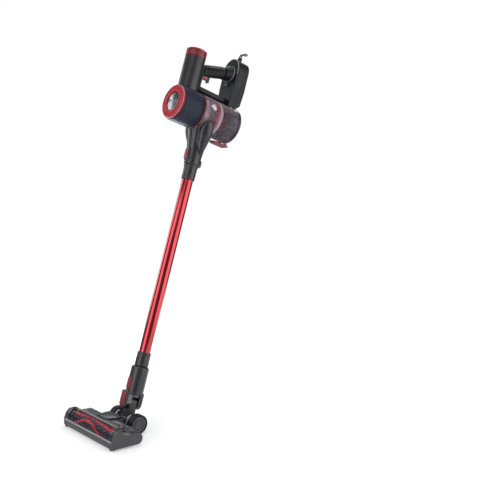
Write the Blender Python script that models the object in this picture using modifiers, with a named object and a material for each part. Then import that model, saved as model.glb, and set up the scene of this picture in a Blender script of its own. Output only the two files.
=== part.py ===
"""Cordless stick vacuum: floor head, neck, wand and hand unit as separate solids.

World frame in metres: +Z up, -Y towards the front of the floor head, X across it.
The origin lies on the floor under the middle of the whole vacuum's box, without its hanging loop.

The head is built in the head frame, an empty on the floor straight under the wheel axle. The neck, wand and hand unit are built in the stick frame, an empty on the axle that leans back
by STICK_LEAN. Its Z runs up the wand and its -Y points to the front face of the dust bin.
"""

import math

import bmesh
import bpy
from mathutils import Matrix, Vector

# ---------------------------------------------------------------- driving dimensions
STICK_LEAN = math.radians(17.4)
AXLE_Y = -0.1540

WHEEL_R = 0.028
WHEEL_INNER_X = 0.0405
WHEEL_OUTER_X = 0.0645
AXLE_R = 0.0040
AXLE_Z = WHEEL_R

HEAD_HALF = 0.1415
CAP_THICK = 0.0052
ROLLER_Y = -0.1020
ROLLER_Z = 0.0262
CHAMBER_R = 0.0262
HOOD_R = 0.0283
CHAMBER_HALF = 0.1258
SOLE_Z = 0.0040
DECK_TOP_Z = 0.0480
BRUSH_CORE_R = 0.0165
ROW_LEVEL = 1 / 6
ROWS = [(135, 150), (88, 35), (315, 150), (268, 35)]
PULLEY_R = 0.0100
ROW_R = 0.0190
ROW_HALF = 0.1120
ROW_MIDDLE_X = 0.0040
LOCK_X = 0.1020
LOCK_Y = -0.0790
LOCK_R = 0.0072
SMALL_ROLLER_R = 0.0040
SMALL_ROLLER_X = 0.1311
SMALL_ROLLER_Y = -0.1245
YOKE_GAP_HALF = 0.0215
PINION_R = 0.0055
MOTOR_Y = -0.0667
MOTOR_Z = 0.0230

SWIVEL_Z = 0.050
SLEEVE_R = 0.0262
SLEEVE_Y = -0.0010
SLEEVE_LOW = 0.077
SLEEVE_TOP = 0.1567
HUB_R = 0.0150
PIN_R = 0.0040
CHEEK_HALF = 0.0190
SOCKET_R = 0.0173
AIR_R = 0.0146
NECK_BUTTON_HALF = 0.0085
PEDAL_HALF = 0.0115
RIB_TOP = 0.0762
RIB_PITCH = 0.0029
RIB_COUNT = 3
COLLAR_R = 0.0204
TUBE_R = 0.0171
TUBE_WALL = 0.0012
TUBE_LOW = 0.200
TUBE_TOP = 0.732
TUBE_HIDDEN = 0.020
NOZZLE_Z = 0.7790
NOZZLE_R = 0.0245
DUCT_BORE_R = 0.0190
SPIGOT_R = 0.0187
SPIGOT_LONG = 0.0130
STEP_R = 0.0222
COLLAR_BORE_R = 0.0150
DUCT_BUTTON_HALF = 0.0080

BIN_Z = 0.940
BIN_R = 0.0560
BIN_WALL = 0.0022
BIN_FRONT = 0.1217
RING_SLOTS = 30
PIVOT_R = 0.0014
PIVOT_BORE_R = 0.0017
SEAL_LOW = 0.0335
SEAL_TOP = 0.0372
CUP_END = -0.0985
LID_FACE = -0.1060
LID_HINGE_V = -0.1030
LID_HINGE_Z = 1.0000
LATCH_PIVOT_V = -0.0780
LATCH_PIVOT_Z = 0.8795

MOTOR_V = 0.0800
MOTOR_R = 0.0313
MOTOR_WALL = 0.0025
MOTOR_TOP = 1.0935
CAP_TOP = 1.1160

SPINE_TOP = 1.0120
HANDLE_FRONT_V = 0.0445
HANDLE_REAR_V = -0.0340
HANDLE_FRONT_Z = 1.0646
HANDLE_RISE = math.radians(17.6)
HANDLE_HALF_X = 0.0150
HANDLE_HALF_Z = 0.0178

BATTERY_FACE_V = -0.0585
BATTERY_SPLIT_V = -0.0860
BATTERY_BACK_V = -0.1035
BATTERY_HALF = 0.036
BATTERY_NOSE_HALF = 0.028
BATTERY_LOW_Z = 0.985
BATTERY_TOP_Z = 1.148
BATTERY_HEEL_R = 0.0130
BATTERY_HEEL_Z = 0.9960

CORD_R = 0.0020
GAP = 0.0003

# ---------------------------------------------------------------- materials
COLOURS = {
    "charcoal": ((0.045, 0.047, 0.052), 0.42, 0.0),
    "head_grey": ((0.110, 0.110, 0.118), 0.45, 0.0),
    "red_plastic": ((0.520, 0.018, 0.035), 0.32, 0.0),
    "red_anodised": ((0.620, 0.035, 0.050), 0.28, 0.9),
    "clear_smoke": ((0.330, 0.350, 0.400), 0.10, 0.0),
    "black": ((0.012, 0.012, 0.014), 0.50, 0.0),
    "rubber": ((0.020, 0.020, 0.022), 0.75, 0.0),
    "steel": ((0.560, 0.570, 0.590), 0.30, 1.0),
    "filter_white": ((0.650, 0.650, 0.620), 0.85, 0.0),
    "cell_blue": ((0.060, 0.140, 0.380), 0.45, 0.0),
}


def clear_scene():
    for obj in list(bpy.data.objects):
        bpy.data.objects.remove(obj, do_unlink=True)


def make_materials():
    made = {}
    for name, (colour, rough, metal) in COLOURS.items():
        mat = bpy.data.materials.new(name)
        mat.use_nodes = True
        shader = mat.node_tree.nodes["Principled BSDF"]
        shader.inputs["Base Color"].default_value = (*colour, 1.0)
        shader.inputs["Roughness"].default_value = rough
        shader.inputs["Metallic"].default_value = metal
        made[name] = mat
    return made


def make_collection(name):
    group = bpy.data.collections.new(name)
    bpy.context.scene.collection.children.link(group)
    return group


clear_scene()
MATERIALS = make_materials()
PARTS = make_collection("cordless_stick_vacuum")
CUTTERS = make_collection("cutters")

# ---------------------------------------------------------------- modelling helpers
AXIS_TURN = {
    "x": (0.0, math.radians(90), 0.0),
    "front": (math.radians(90), 0.0, 0.0),
    "z": (0.0, 0.0, 0.0),
}


def make_empty(name, location, rotation):
    empty = bpy.data.objects.new(name, None)
    empty.location = location
    empty.rotation_euler = rotation
    PARTS.objects.link(empty)
    return empty


head = make_empty("head_frame", (0.0, AXLE_Y, 0.0), (0.0, 0.0, 0.0))
stick = make_empty("stick_frame", (0.0, AXLE_Y, AXLE_Z), (-STICK_LEAN, 0.0, 0.0))


def add_object(name, data, colour, parent, location=(0, 0, 0), rotation=(0, 0, 0)):
    obj = bpy.data.objects.new(name, data)
    obj.location = location
    obj.rotation_euler = rotation
    obj.parent = parent or head
    if colour is None:
        CUTTERS.objects.link(obj)
        obj.hide_render = True
        obj.display_type = "WIRE"
    else:
        PARTS.objects.link(obj)
        obj.data.materials.append(MATERIALS[colour])
    return obj


def mesh_from(bm, name):
    mesh = bpy.data.meshes.new(name)
    bm.to_mesh(mesh)
    bm.free()
    return mesh


def bevel(obj, width, segments=2, angle=35):
    mod = obj.modifiers.new("Bevel", "BEVEL")
    mod.width = width
    mod.segments = segments
    mod.limit_method = "ANGLE"
    mod.angle_limit = math.radians(angle)
    return mod


def boolean(obj, other, operation="DIFFERENCE"):
    mod = obj.modifiers.new(operation.title(), "BOOLEAN")
    mod.object = other
    mod.operation = operation
    mod.solver = "EXACT"
    return mod


def cut(obj, *cutters):
    for cutter in cutters:
        boolean(obj, cutter)


def join(obj, *others):
    for other in others:
        boolean(obj, other, "UNION")


def box(name, low, high, colour=None, parent=None, edge=0.0, segments=2):
    """Block between two corners."""
    size = Vector(high) - Vector(low)
    centre = (Vector(high) + Vector(low)) / 2
    bm = bmesh.new()
    bmesh.ops.create_cube(bm, size=1.0)
    bmesh.ops.scale(bm, vec=size, verts=bm.verts)
    obj = add_object(name, mesh_from(bm, name), colour, parent, centre)
    if edge:
        bevel(obj, edge, segments)
    return obj


def rod(name, radius, start, end, colour=None, parent=None, sides=24, squash=1.0):
    """Straight round bar between two points; squash narrows it along its own X."""
    start, end = Vector(start), Vector(end)
    run = end - start
    bm = bmesh.new()
    bmesh.ops.create_cone(bm, cap_ends=True, segments=sides, radius1=radius, radius2=radius, depth=run.length)
    bmesh.ops.scale(bm, vec=(squash, 1.0, 1.0), verts=bm.verts)
    turn = run.to_track_quat("Z", "Y").to_matrix() if abs(run.x) > 1e-9 else Matrix.Rotation(
        -math.atan2(run.y, run.z), 3, "X")
    obj = add_object(name, mesh_from(bm, name), colour, parent, (start + end) / 2, turn.to_euler())
    return obj


def turned(name, profile, colour=None, parent=None, centre=(0, 0, 0), axis="z", steps=32, ring=False):
    """Turned piece. The (radius, height) profile runs down the outer side; ring closes it on itself."""
    bm = bmesh.new()
    points = [bm.verts.new((radius, 0.0, height)) for radius, height in profile]
    for first, second in zip(points, points[1:]):
        bm.edges.new((first, second))
    if ring:
        bm.edges.new((points[-1], points[0]))
    obj = add_object(name, mesh_from(bm, name), colour, parent, centre, AXIS_TURN[axis])
    screw = obj.modifiers.new("Screw", "SCREW")
    screw.steps = steps
    screw.render_steps = steps
    screw.use_merge_vertices = True
    screw.merge_threshold = 0.00001
    return obj


def arc(centre, radius, start, end, count):
    """Points on an arc, in degrees, as (u, v) pairs."""
    return [
        (
            centre[0] + radius * math.cos(math.radians(start + (end - start) * i / count)),
            centre[1] + radius * math.sin(math.radians(start + (end - start) * i / count)),
        )
        for i in range(count + 1)
    ]


PLATE_TURN = {
    # outline (u, v) lies in this plane and is extruded along the third axis
    "yz": Matrix(((0, 0, 1), (1, 0, 0), (0, 1, 0))),
    "xz": Matrix(((1, 0, 0), (0, 0, -1), (0, 1, 0))),
    "xy": Matrix.Identity(3),
}


def plate(name, loops, thick, plane, offset, colour=None, parent=None, edge=0.0, segments=2):
    """Flat outline extruded by thick about offset; a second loop is a hole."""
    curve = bpy.data.curves.new(name, "CURVE")
    curve.dimensions = "2D"
    curve.fill_mode = "BOTH"
    curve.extrude = thick / 2
    for loop in loops:
        spline = curve.splines.new("POLY")
        spline.points.add(len(loop) - 1)
        for point, (u, v) in zip(spline.points, loop):
            point.co = (u, v, 0.0, 1.0)
        spline.use_cyclic_u = True
    guide = bpy.data.objects.new(name + "_outline", curve)
    PARTS.objects.link(guide)
    obj = mesh_of(guide, name, colour, parent)
    turn = PLATE_TURN[plane]
    obj.rotation_euler = turn.to_euler()
    obj.location = turn @ Vector((0.0, 0.0, offset))
    if edge:
        bevel(obj, edge, segments)
    return obj


def mesh_of(guide, name, colour, parent):
    """Mesh copy of a curve, with its caps welded; the curve is removed."""
    bpy.context.view_layer.update()
    evaluated = guide.evaluated_get(bpy.context.evaluated_depsgraph_get())
    mesh = bpy.data.meshes.new_from_object(evaluated)
    mesh.name = name
    bm = bmesh.new()
    bm.from_mesh(mesh)
    bmesh.ops.remove_doubles(bm, verts=bm.verts, dist=0.00001)
    bm.to_mesh(mesh)
    bm.free()
    mesh.materials.clear()
    obj = add_object(name, mesh, colour, parent)
    bpy.data.objects.remove(guide, do_unlink=True)
    return obj


def wire(name, points, radius, colour=None, parent=None, closed=False, resolution=2):
    """Round wire along points, kept as a curve unless it is a cutter or joined."""
    curve = bpy.data.curves.new(name, "CURVE")
    curve.dimensions = "3D"
    curve.bevel_depth = radius
    curve.bevel_resolution = resolution
    curve.use_fill_caps = not closed
    spline = curve.splines.new("POLY")
    spline.points.add(len(points) - 1)
    for point, place in zip(spline.points, points):
        point.co = (*place, 1.0)
    spline.use_cyclic_u = closed
    return add_object(name, curve, colour, parent)


def smooth(obj, angle=40):
    if obj.type == "MESH":
        obj.data.shade_smooth()
        obj.data.set_sharp_from_angle(angle=math.radians(angle))


def front(v):
    """Stick-frame Y of a distance v towards the bin's front face."""
    return -v


# ---------------------------------------------------------------- floor head
def side_outline():
    """Outline of a side cap in (y, z): tall round front, low round rear."""
    top = arc((ROLLER_Y, ROLLER_Z), HOOD_R + 0.0012, 170, 112, 4)
    slope = [(-0.1040, 0.0478), (-0.0920, 0.0412), (-0.0760, 0.0376)]
    rear = arc((-0.0535, 0.0200), 0.0165, 80, -76, 7)
    nose = [(-0.1338, SOLE_Z + 0.003), (-0.1338, ROLLER_Z)]
    foot = [(-0.0560, SOLE_Z), (-0.1300, SOLE_Z)]
    return nose + top + slope + rear + foot


def head_base():
    """Sole, end walls and the walls round the brush chamber."""
    hood = arc((ROLLER_Y, ROLLER_Z), HOOD_R, 180, 97, 6)
    outline = [(-0.1303, 0.0095)] + hood + [(-0.0988, 0.0540), (-0.0988, 0.0506), (-0.0886, 0.0486)]
    outline += [(-0.0740, 0.0461), (-0.0622, 0.0451), (-0.0572, 0.0420), (-0.0572, 0.0090)]
    outline += [(-0.0620, SOLE_Z), (-0.1240, SOLE_Z)]
    half = HEAD_HALF - CAP_THICK - GAP
    base = plate("head_base", [outline], 2 * half, "yz", 0.0, "charcoal")
    chamber = rod("cut_chamber", CHAMBER_R, (-CHAMBER_HALF, ROLLER_Y, ROLLER_Z),
                  (CHAMBER_HALF, ROLLER_Y, ROLLER_Z), sides=32)
    window = box("cut_window", (-CHAMBER_HALF, -0.1400, 0.0100), (CHAMBER_HALF, -0.0985, 0.0700))
    mouth = box("cut_mouth", (-CHAMBER_HALF + 0.001, -0.1400, -0.0100), (CHAMBER_HALF - 0.001, -0.0800, 0.0120))
    bay = box("cut_motor_bay", (-0.1240, -0.0745, 0.0100), (-0.0400, -0.0590, 0.0600))
    slot = box("cut_belt_slot", (-0.1250, -0.0900, 0.0110), (-0.1165, -0.0592, 0.0395))
    shelf = box("cut_yoke_shelf", (-0.0295, -0.0690, -0.0100), (0.0295, -0.0400, 0.0600))
    hollow = box("cut_right_hollow", (0.0350, -0.0735, -0.0100), (0.1200, -0.0592, 0.0425))
    stub = rod("cut_stub", 0.0034, (-0.1320, ROLLER_Y, ROLLER_Z), (0.1320, ROLLER_Y, ROLLER_Z), sides=16)
    cut(base, chamber, window, mouth, bay, slot, shelf, hollow, stub)
    for slope in end_slopes("base", GAP):
        cut(base, slope)
    for side in (-1, 1):
        low, high = sorted((side * 0.1270, side * 0.1352))
        pocket = box(f"cut_front_roller_{side}", (low, -0.1400, -0.0100), (high, -0.1190, 0.0092))
        cut(base, pocket)
    return base


def end_slopes(word, drop):
    """Cutters that slope the head's top down to the side caps, drop below the deck's own slope."""
    slopes = []
    for side in (-1, 1):
        block = box(f"cut_{word}_slope_{side}", (-0.0250, -0.0250, 0.0), (0.0250, 0.0250, 0.0200))
        block.location = (side * 0.1265, -0.0722, 0.0435 - drop + 0.0089)
        block.rotation_euler = (0.0, side * math.radians(27), 0.0)
        slopes.append(block)
    return slopes


def head_shell():
    half = HEAD_HALF - CAP_THICK - GAP
    over = [(-0.0985, 0.0534), (-0.0880, 0.0515), (-0.0740, 0.0490), (-0.0630, DECK_TOP_Z)]
    over += arc((-0.0597, 0.0425), 0.0052, 85, 0, 3)
    skirt = [(-0.0545, 0.0330), (-0.0567, 0.0330), (-0.0567, 0.0425)]
    under = [(-0.0622, 0.0455), (-0.0740, 0.0465), (-0.0885, 0.0490), (-0.0985, 0.0510)]
    outline = over + skirt + under
    deck = plate("head_deck", [outline], 2 * half, "yz", 0.0, "head_grey")
    lock_hole = rod("cut_lock", LOCK_R + 2 * GAP, (LOCK_X, LOCK_Y, 0.0400), (LOCK_X, LOCK_Y, 0.0600), sides=20)
    yoke_room = box("cut_deck_yoke", (-0.0295, -0.0670, 0.0100), (0.0295, -0.0400, 0.0445))
    cut(deck, lock_hole, yoke_room)
    for slope in end_slopes("deck", 0.0):
        cut(deck, slope)
    cut(bpy.data.objects["head_base"], lock_hole)
    lock = turned("end_lock", [(0, 0.0512), (LOCK_R, 0.0512), (LOCK_R, 0.0420), (0, 0.0420)],
                  "red_plastic", None, (LOCK_X, LOCK_Y, 0.0), "z", 20)
    slot = box("cut_lock_slot", (LOCK_X - 0.0060, LOCK_Y - 0.0007, 0.0500),
               (LOCK_X + 0.0060, LOCK_Y + 0.0007, 0.0520))
    cut(lock, slot)
    cover_outline = [(-0.0340, -0.0400), (-0.0340, -0.0620), (-0.0260, -0.0840), (0.0260, -0.0840),
                     (0.0340, -0.0620), (0.0340, -0.0400)]
    plate("centre_cover", [cover_outline], 0.0028, "xy", 0.0522, "head_grey", edge=0.0008)
    for side, name in ((-1, "side_cap_left"), (1, "side_cap_right")):
        plate(name, [side_outline()], CAP_THICK, "yz", side * (HEAD_HALF - CAP_THICK / 2), "head_grey",
              edge=0.0012)
    bumper_outline = [(-0.1338, 0.0260), (-0.1338, 0.0060), (-0.1325, SOLE_Z + 0.0004),
                      (-0.1308, SOLE_Z + 0.0004), (-0.1308, 0.0260)]
    plate("front_bumper", [bumper_outline], 2 * half, "yz", 0.0, "head_grey")
    outer = arc((ROLLER_Y, ROLLER_Z), HOOD_R, 186, 84, 10)
    inner_arc = arc((ROLLER_Y, ROLLER_Z), HOOD_R - 0.0016, 84, 186, 10)
    plate("brush_window", [outer + inner_arc], 2 * (CHAMBER_HALF - GAP), "yz", 0.0, "clear_smoke")


def chevron_row(turn, fall, radius, half, count=6):
    """One bristle row as points: level in the middle, then turning away by fall degrees towards each end."""
    points = []
    for i in range(2 * count + 1):
        share = i / count - 1.0
        angle = math.radians(turn + fall * max(0.0, abs(share) - ROW_LEVEL))
        points.append((share * half, radius * math.cos(angle), radius * math.sin(angle)))
    return points


def brush_drive():
    centre = (0.0, ROLLER_Y, ROLLER_Z)
    core = turned(
        "brush_roller",
        [(0, 0.1300), (0.0031, 0.1300), (0.0031, 0.1235), (BRUSH_CORE_R, 0.1235), (BRUSH_CORE_R, -0.1155),
         (PULLEY_R, -0.1160), (PULLEY_R, -0.1235), (0.0031, -0.1235), (0.0031, -0.1300), (0, -0.1300)],
        "black", None, centre, "x", 20)
    sleeve = turned(
        "bristle_rows",
        [(0.0180, 0.1225), (0.0180, -0.1145), (BRUSH_CORE_R + GAP, -0.1145), (BRUSH_CORE_R + GAP, 0.1225)],
        "red_plastic", None, centre, "x", 20, ring=True)
    for number, (turn, fall) in enumerate(ROWS):
        guide = wire(f"row_{number}", chevron_row(turn, fall, ROW_R, ROW_HALF), 0.0021, resolution=1)
        row = mesh_of(guide, f"row_{number}_mesh", None, None)
        row.location = (ROW_MIDDLE_X, ROLLER_Y, ROLLER_Z)
        join(sleeve, row)
    rod("brush_motor", 0.0070, (-0.1130, MOTOR_Y, MOTOR_Z), (-0.0430, MOTOR_Y, MOTOR_Z), "steel", sides=20)
    rod("brush_pinion", PINION_R, (-0.1235, MOTOR_Y, MOTOR_Z), (-0.1165, MOTOR_Y, MOTOR_Z), "steel", sides=20)
    drive_belt()
    return core


def drive_belt():
    """Flat belt round the motor pinion and the roller's pulley."""
    run = Vector((MOTOR_Y - ROLLER_Y, MOTOR_Z - ROLLER_Z))
    heading = math.degrees(math.atan2(run.y, run.x))
    loops = []
    for extra in (0.0014, 0.0002):
        big, small = PULLEY_R + extra, PINION_R + extra
        lean = math.degrees(math.acos((big - small) / run.length))
        loop = arc((ROLLER_Y, ROLLER_Z), big, heading + lean, heading + 360 - lean, 14)
        loop += arc((MOTOR_Y, MOTOR_Z), small, heading - lean, heading + lean, 8)
        loops.append(loop)
    return plate("drive_belt", loops, 0.0050, "yz", -0.1200, "rubber")


def wheels():
    for side, word in ((-1, "left"), (1, "right")):
        mid = side * (WHEEL_INNER_X + WHEEL_OUTER_X) / 2
        half = (WHEEL_OUTER_X - WHEEL_INNER_X) / 2
        face = side * half
        step = side * 0.0065
        # profile heights follow the side, so the hub disc always faces outwards
        rim = [(WHEEL_R - 0.0015, half), (WHEEL_R, half - 0.0015), (WHEEL_R, -half + 0.0015),
               (WHEEL_R - 0.0015, -half)]
        bore = AXLE_R + GAP
        if side > 0:
            profile = rim + [(bore, -half), (bore, half - 0.0070), (0.0225, half - 0.0070), (0.0225, half)]
        else:
            profile = rim + [(0.0225, -half), (0.0225, -half + 0.0070), (bore, -half + 0.0070), (bore, half)]
        turned(f"wheel_{word}", profile, "rubber", None, (mid, 0.0, AXLE_Z), "x", 32, ring=True)
        outer, inner = (face, face - step) if side > 0 else (face - step, face)
        hub = [(0, outer), (0.0205, outer), (0.0222, (outer + inner) / 2), (0.0222, inner), (0, inner)]
        turned(f"wheel_hub_{word}", hub, "charcoal", None, (mid, 0.0, AXLE_Z), "x", 24)
        roller_x = side * SMALL_ROLLER_X
        rod(f"front_roller_{word}", SMALL_ROLLER_R, (roller_x - 0.0035, SMALL_ROLLER_Y, SMALL_ROLLER_R),
            (roller_x + 0.0035, SMALL_ROLLER_Y, SMALL_ROLLER_R), "rubber", sides=16)
    reach = WHEEL_OUTER_X - 0.0072
    return rod("wheel_axle", AXLE_R, (-reach, 0, AXLE_Z), (reach, 0, AXLE_Z), "steel", sides=20)


def pivot_yoke():
    """Two arms that carry the axle, joined by a cross bar inside the base."""
    ear = arc((0.0, AXLE_Z), 0.0125, 80, -110, 10)
    outline = ear + [(-0.0340, 0.0130), (-0.0680, 0.0130), (-0.0680, 0.0425), (-0.0340, 0.0440)]
    yoke = plate("pivot_yoke", [outline], 0.0580, "yz", 0.0, "charcoal")
    gap = box("cut_yoke_gap", (-YOKE_GAP_HALF, -0.0460, 0.0), (YOKE_GAP_HALF, 0.0300, 0.0700))
    bore = rod("cut_yoke_bore", AXLE_R + GAP, (-0.05, 0, AXLE_Z), (0.05, 0, AXLE_Z), sides=20)
    cut(yoke, gap, bore)
    return yoke


# ---------------------------------------------------------------- neck
def cheek(name, v_low, v_high, half):
    """Fork cheek with a round lower end on the swivel axis."""
    outline = arc((0.0, SWIVEL_Z), half, 180, 360, 12) + [(half, SLEEVE_LOW + 0.004), (-half, SLEEVE_LOW + 0.004)]
    return plate(name, [outline], v_high - v_low, "xz", (v_low + v_high) / 2, None, stick)


def neck():
    hub_post = arc((0.0, SWIVEL_Z), HUB_R, 0, 180, 12) + [(-HUB_R, 0.0), (HUB_R, 0.0)]
    hub = plate("pitch_hub", [hub_post], 0.0239, "xz", 0.00275, "charcoal", stick)
    barrel = rod("hub_barrel", 0.0165, (-0.0207, 0, 0), (0.0207, 0, 0), parent=stick, sides=28)
    axle_bore = rod("cut_hub_bore", AXLE_R + GAP, (-0.05, 0, 0), (0.05, 0, 0), parent=stick, sides=20)
    pin_bore = rod("cut_pin_bore", PIN_R + GAP, (0, -0.05, SWIVEL_Z), (0, 0.05, SWIVEL_Z), parent=stick, sides=20)
    join(hub, barrel)
    cut(hub, axle_bore, pin_bore)
    rod("swivel_pin", PIN_R, (0, front(0.0270), SWIVEL_Z), (0, front(-0.0222), SWIVEL_Z), "steel", stick, 20)

    sleeve = turned(
        "neck_sleeve",
        [(SLEEVE_R - 0.0020, SLEEVE_TOP), (SLEEVE_R, SLEEVE_TOP - 0.0030), (SLEEVE_R, SLEEVE_LOW),
         (0.0150, SLEEVE_LOW), (0.0150, SLEEVE_TOP)],
        "charcoal", stick, (0, SLEEVE_Y, 0), "z", 40, ring=True)
    join(sleeve, cheek("cheek_front", 0.0150, 0.0315, CHEEK_HALF), cheek("cheek_rear", -0.0226, -0.0095, CHEEK_HALF))
    bump = box("pedal_bump", (-0.0145, -0.0332, 0.0360), (0.0145, -0.0150, 0.0830), parent=stick, edge=0.0030)
    join(sleeve, bump)
    bellows_room = rod("cut_bellows_room", 0.0166, (0, 0, 0.0655), (0, 0, 0.0766), parent=stick, sides=28)
    socket = rod("cut_wand_socket", SOCKET_R, (0, 0, 0.1300), (0, 0, 0.2000), parent=stick, sides=32)
    air = rod("cut_neck_air", AIR_R, (0, 0, 0.0660), (0, 0, 0.2000), parent=stick, sides=32)
    swing_room = rod("cut_hub_room", 0.0162, (0, -0.0149, SWIVEL_Z), (0, 0.0094, SWIVEL_Z), parent=stick, sides=28)
    hole_half = NECK_BUTTON_HALF + GAP
    button_hole = box("cut_neck_button", (-hole_half, -0.0400, 0.0897), (hole_half, -0.0140, 0.1223), parent=stick)
    hole_half = PEDAL_HALF + GAP
    pedal_hole = box("cut_neck_pedal", (-hole_half, -0.0500, 0.0397), (hole_half, -0.0285, 0.0773), parent=stick)
    cut(sleeve, socket, air, bellows_room, swing_room, button_hole, pedal_hole, pin_bore)
    box("neck_button", (-NECK_BUTTON_HALF, -0.0292, 0.0900), (NECK_BUTTON_HALF, -0.0215, 0.1220), "red_plastic",
        stick, 0.0018)
    box("neck_pedal", (-PEDAL_HALF, -0.0362, 0.0400), (PEDAL_HALF, -0.0308, 0.0770), "red_plastic", stick, 0.0016)

    ribs = []
    for number in range(RIB_COUNT):
        height = RIB_TOP - number * RIB_PITCH
        ribs += [(0.0148, height), (0.0162, height - RIB_PITCH / 2)]
    rib_low = RIB_TOP - RIB_COUNT * RIB_PITCH
    ribs.append((0.0148, rib_low))
    inner = [(0.0128, rib_low), (0.0128, RIB_TOP)]
    turned("neck_bellows", ribs + inner, "rubber", stick, (0, 0, 0), "z", 20, ring=True)
    return sleeve


# ---------------------------------------------------------------- wand
def wand():
    turned(
        "lower_collar",
        [(0.0185, TUBE_LOW), (COLLAR_R, TUBE_LOW - 0.0020), (COLLAR_R, 0.1570), (0.0170, 0.1570),
         (0.0170, 0.1350), (COLLAR_BORE_R, 0.1350), (COLLAR_BORE_R, TUBE_LOW - TUBE_HIDDEN - GAP),
         (TUBE_R + GAP, TUBE_LOW - TUBE_HIDDEN - GAP), (TUBE_R + GAP, TUBE_LOW)],
        "charcoal", stick, (0, 0, 0), "z", 24, ring=True)
    turned(
        "wand_tube",
        [(TUBE_R, TUBE_TOP + TUBE_HIDDEN), (TUBE_R, TUBE_LOW - TUBE_HIDDEN),
         (TUBE_R - TUBE_WALL, TUBE_LOW - TUBE_HIDDEN), (TUBE_R - TUBE_WALL, TUBE_TOP + TUBE_HIDDEN)],
        "red_anodised", stick, (0, 0, 0), "z", 24, ring=True)
    spigot_top = NOZZLE_Z + SPIGOT_LONG
    turned(
        "upper_collar",
        [(SPIGOT_R, spigot_top), (SPIGOT_R, NOZZLE_Z - GAP), (STEP_R, NOZZLE_Z - GAP), (STEP_R, NOZZLE_Z - 0.0060),
         (COLLAR_R, NOZZLE_Z - 0.0080), (COLLAR_R, TUBE_TOP + 0.0020), (0.0185, TUBE_TOP),
         (TUBE_R + GAP, TUBE_TOP), (TUBE_R + GAP, TUBE_TOP + TUBE_HIDDEN + GAP),
         (COLLAR_BORE_R, TUBE_TOP + TUBE_HIDDEN + GAP), (COLLAR_BORE_R, spigot_top)],
        "charcoal", stick, (0, 0, 0), "z", 24, ring=True)


# ---------------------------------------------------------------- dust bin
def bin_piece(name, profile, colour, steps=36, ring=False):
    """Turned about the bin's axis; heights are distances towards the front face."""
    return turned(name, profile, colour, stick, (0, 0, BIN_Z), "front", steps, ring)


def dust_bin():
    inner = BIN_R - BIN_WALL
    shoulder = arc((BIN_R - 0.0100, 0.1080), 0.0100, 50, 0, 3)
    bin_piece(
        "upper_shell",
        [(0.0511, 0.1180)] + shoulder + [(BIN_R, SEAL_TOP + GAP), (inner, SEAL_TOP + GAP), (inner, 0.1060),
                                         (0.0511, 0.1130)],
        "clear_smoke", ring=True)
    cup = bin_piece(
        "dust_cup",
        [(BIN_R, SEAL_LOW - GAP), (BIN_R, CUP_END), (inner, CUP_END), (inner, SEAL_LOW - GAP)],
        "clear_smoke", ring=True)
    for side in (-1, 1):
        low, high = sorted((side * 0.0108, side * 0.0150))
        lug = box(f"lid_lug_{side}", (low, 0.0860, 0.9930), (high, 0.1062, 1.0035), parent=stick, edge=0.0012)
        low, high = sorted((side * 0.0156, side * 0.0174))
        wall = box(f"latch_wall_{side}", (low, 0.0500, 0.8745), (high, 0.0975, 0.8880), parent=stick)
        join(cup, lug, wall)
    lid_room = box("cut_lid_room", (-0.0700, 0.0986, 0.8500), (0.0700, 0.1200, 0.9965), parent=stick)
    inlet = rod("cut_inlet", 0.0165, (0, 0, 0.8600), (0, 0, 0.9150), parent=stick, sides=28)
    lid_axis = rod("cut_lid_axis", PIVOT_BORE_R, (-0.0200, -LID_HINGE_V, LID_HINGE_Z),
                   (0.0200, -LID_HINGE_V, LID_HINGE_Z), parent=stick, sides=12)
    latch_axis = rod("cut_latch_axis", PIVOT_BORE_R, (-0.0300, -LATCH_PIVOT_V, LATCH_PIVOT_Z),
                     (0.0300, -LATCH_PIVOT_V, LATCH_PIVOT_Z), parent=stick, sides=12)
    cut(cup, lid_room, inlet, lid_axis, latch_axis)

    bin_piece("seal_ring", [(BIN_R + 0.0002, SEAL_TOP), (BIN_R + 0.0002, SEAL_LOW), (0.0460, SEAL_LOW),
                            (0.0460, SEAL_TOP)], "red_plastic", ring=True)
    bin_piece("step_ring", [(inner - GAP, -0.0270), (inner - GAP, -0.0340), (0.0495, -0.0340),
                            (0.0475, -0.0270)], "clear_smoke", ring=True)
    bin_piece("cyclone_cone", [(0.0440, 0.0330), (0.0440, 0.0290), (0.0160, -0.0600), (0.0160, -0.0750),
                               (0.0140, -0.0750), (0.0140, -0.0600), (0.0415, 0.0280), (0.0415, 0.0330)],
              "red_plastic", 24, ring=True)
    bin_piece("filter_housing", [(0, 0.1095), (0.0495, 0.1095), (0.0495, 0.0400), (0.0510, 0.0398),
                                 (0.0510, 0.0376), (0.0470, 0.0376), (0.0470, 0.1070), (0, 0.1070)], "charcoal")
    bin_piece("filter_element", [(0.0440, 0.1040), (0.0440, 0.0480), (0.0300, 0.0480), (0.0300, 0.1040)],
              "filter_white", 24, ring=True)

    ring = bin_piece("top_ring", [(0.0320, BIN_FRONT), (0.0495, BIN_FRONT), (0.0507, BIN_FRONT - 0.0015),
                                  (0.0507, 0.1100), (0.0302, 0.1100), (0.0302, BIN_FRONT - 0.0015)],
                     "red_plastic", ring=True)
    slots = bmesh.new()
    for number in range(RING_SLOTS):
        turn = Matrix.Rotation(2 * math.pi * number / RING_SLOTS, 4, "Z")
        place = turn @ Matrix.Translation((0.0415, 0.0, BIN_FRONT)) @ Matrix.Diagonal((0.0105, 0.0026, 0.0050, 1))
        bmesh.ops.create_cube(slots, size=1.0, matrix=place)
    slot_cutter = add_object("cut_ring_slots", mesh_from(slots, "cut_ring_slots"), None, stick, (0, 0, BIN_Z),
                             AXIS_TURN["front"])
    cut(ring, slot_cutter)
    bin_piece("top_disc", [(0, 0.1205), (0.0290, 0.1185), (0.0298, 0.1175), (0.0298, 0.1100), (0, 0.1100)],
              "steel", 40)


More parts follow.
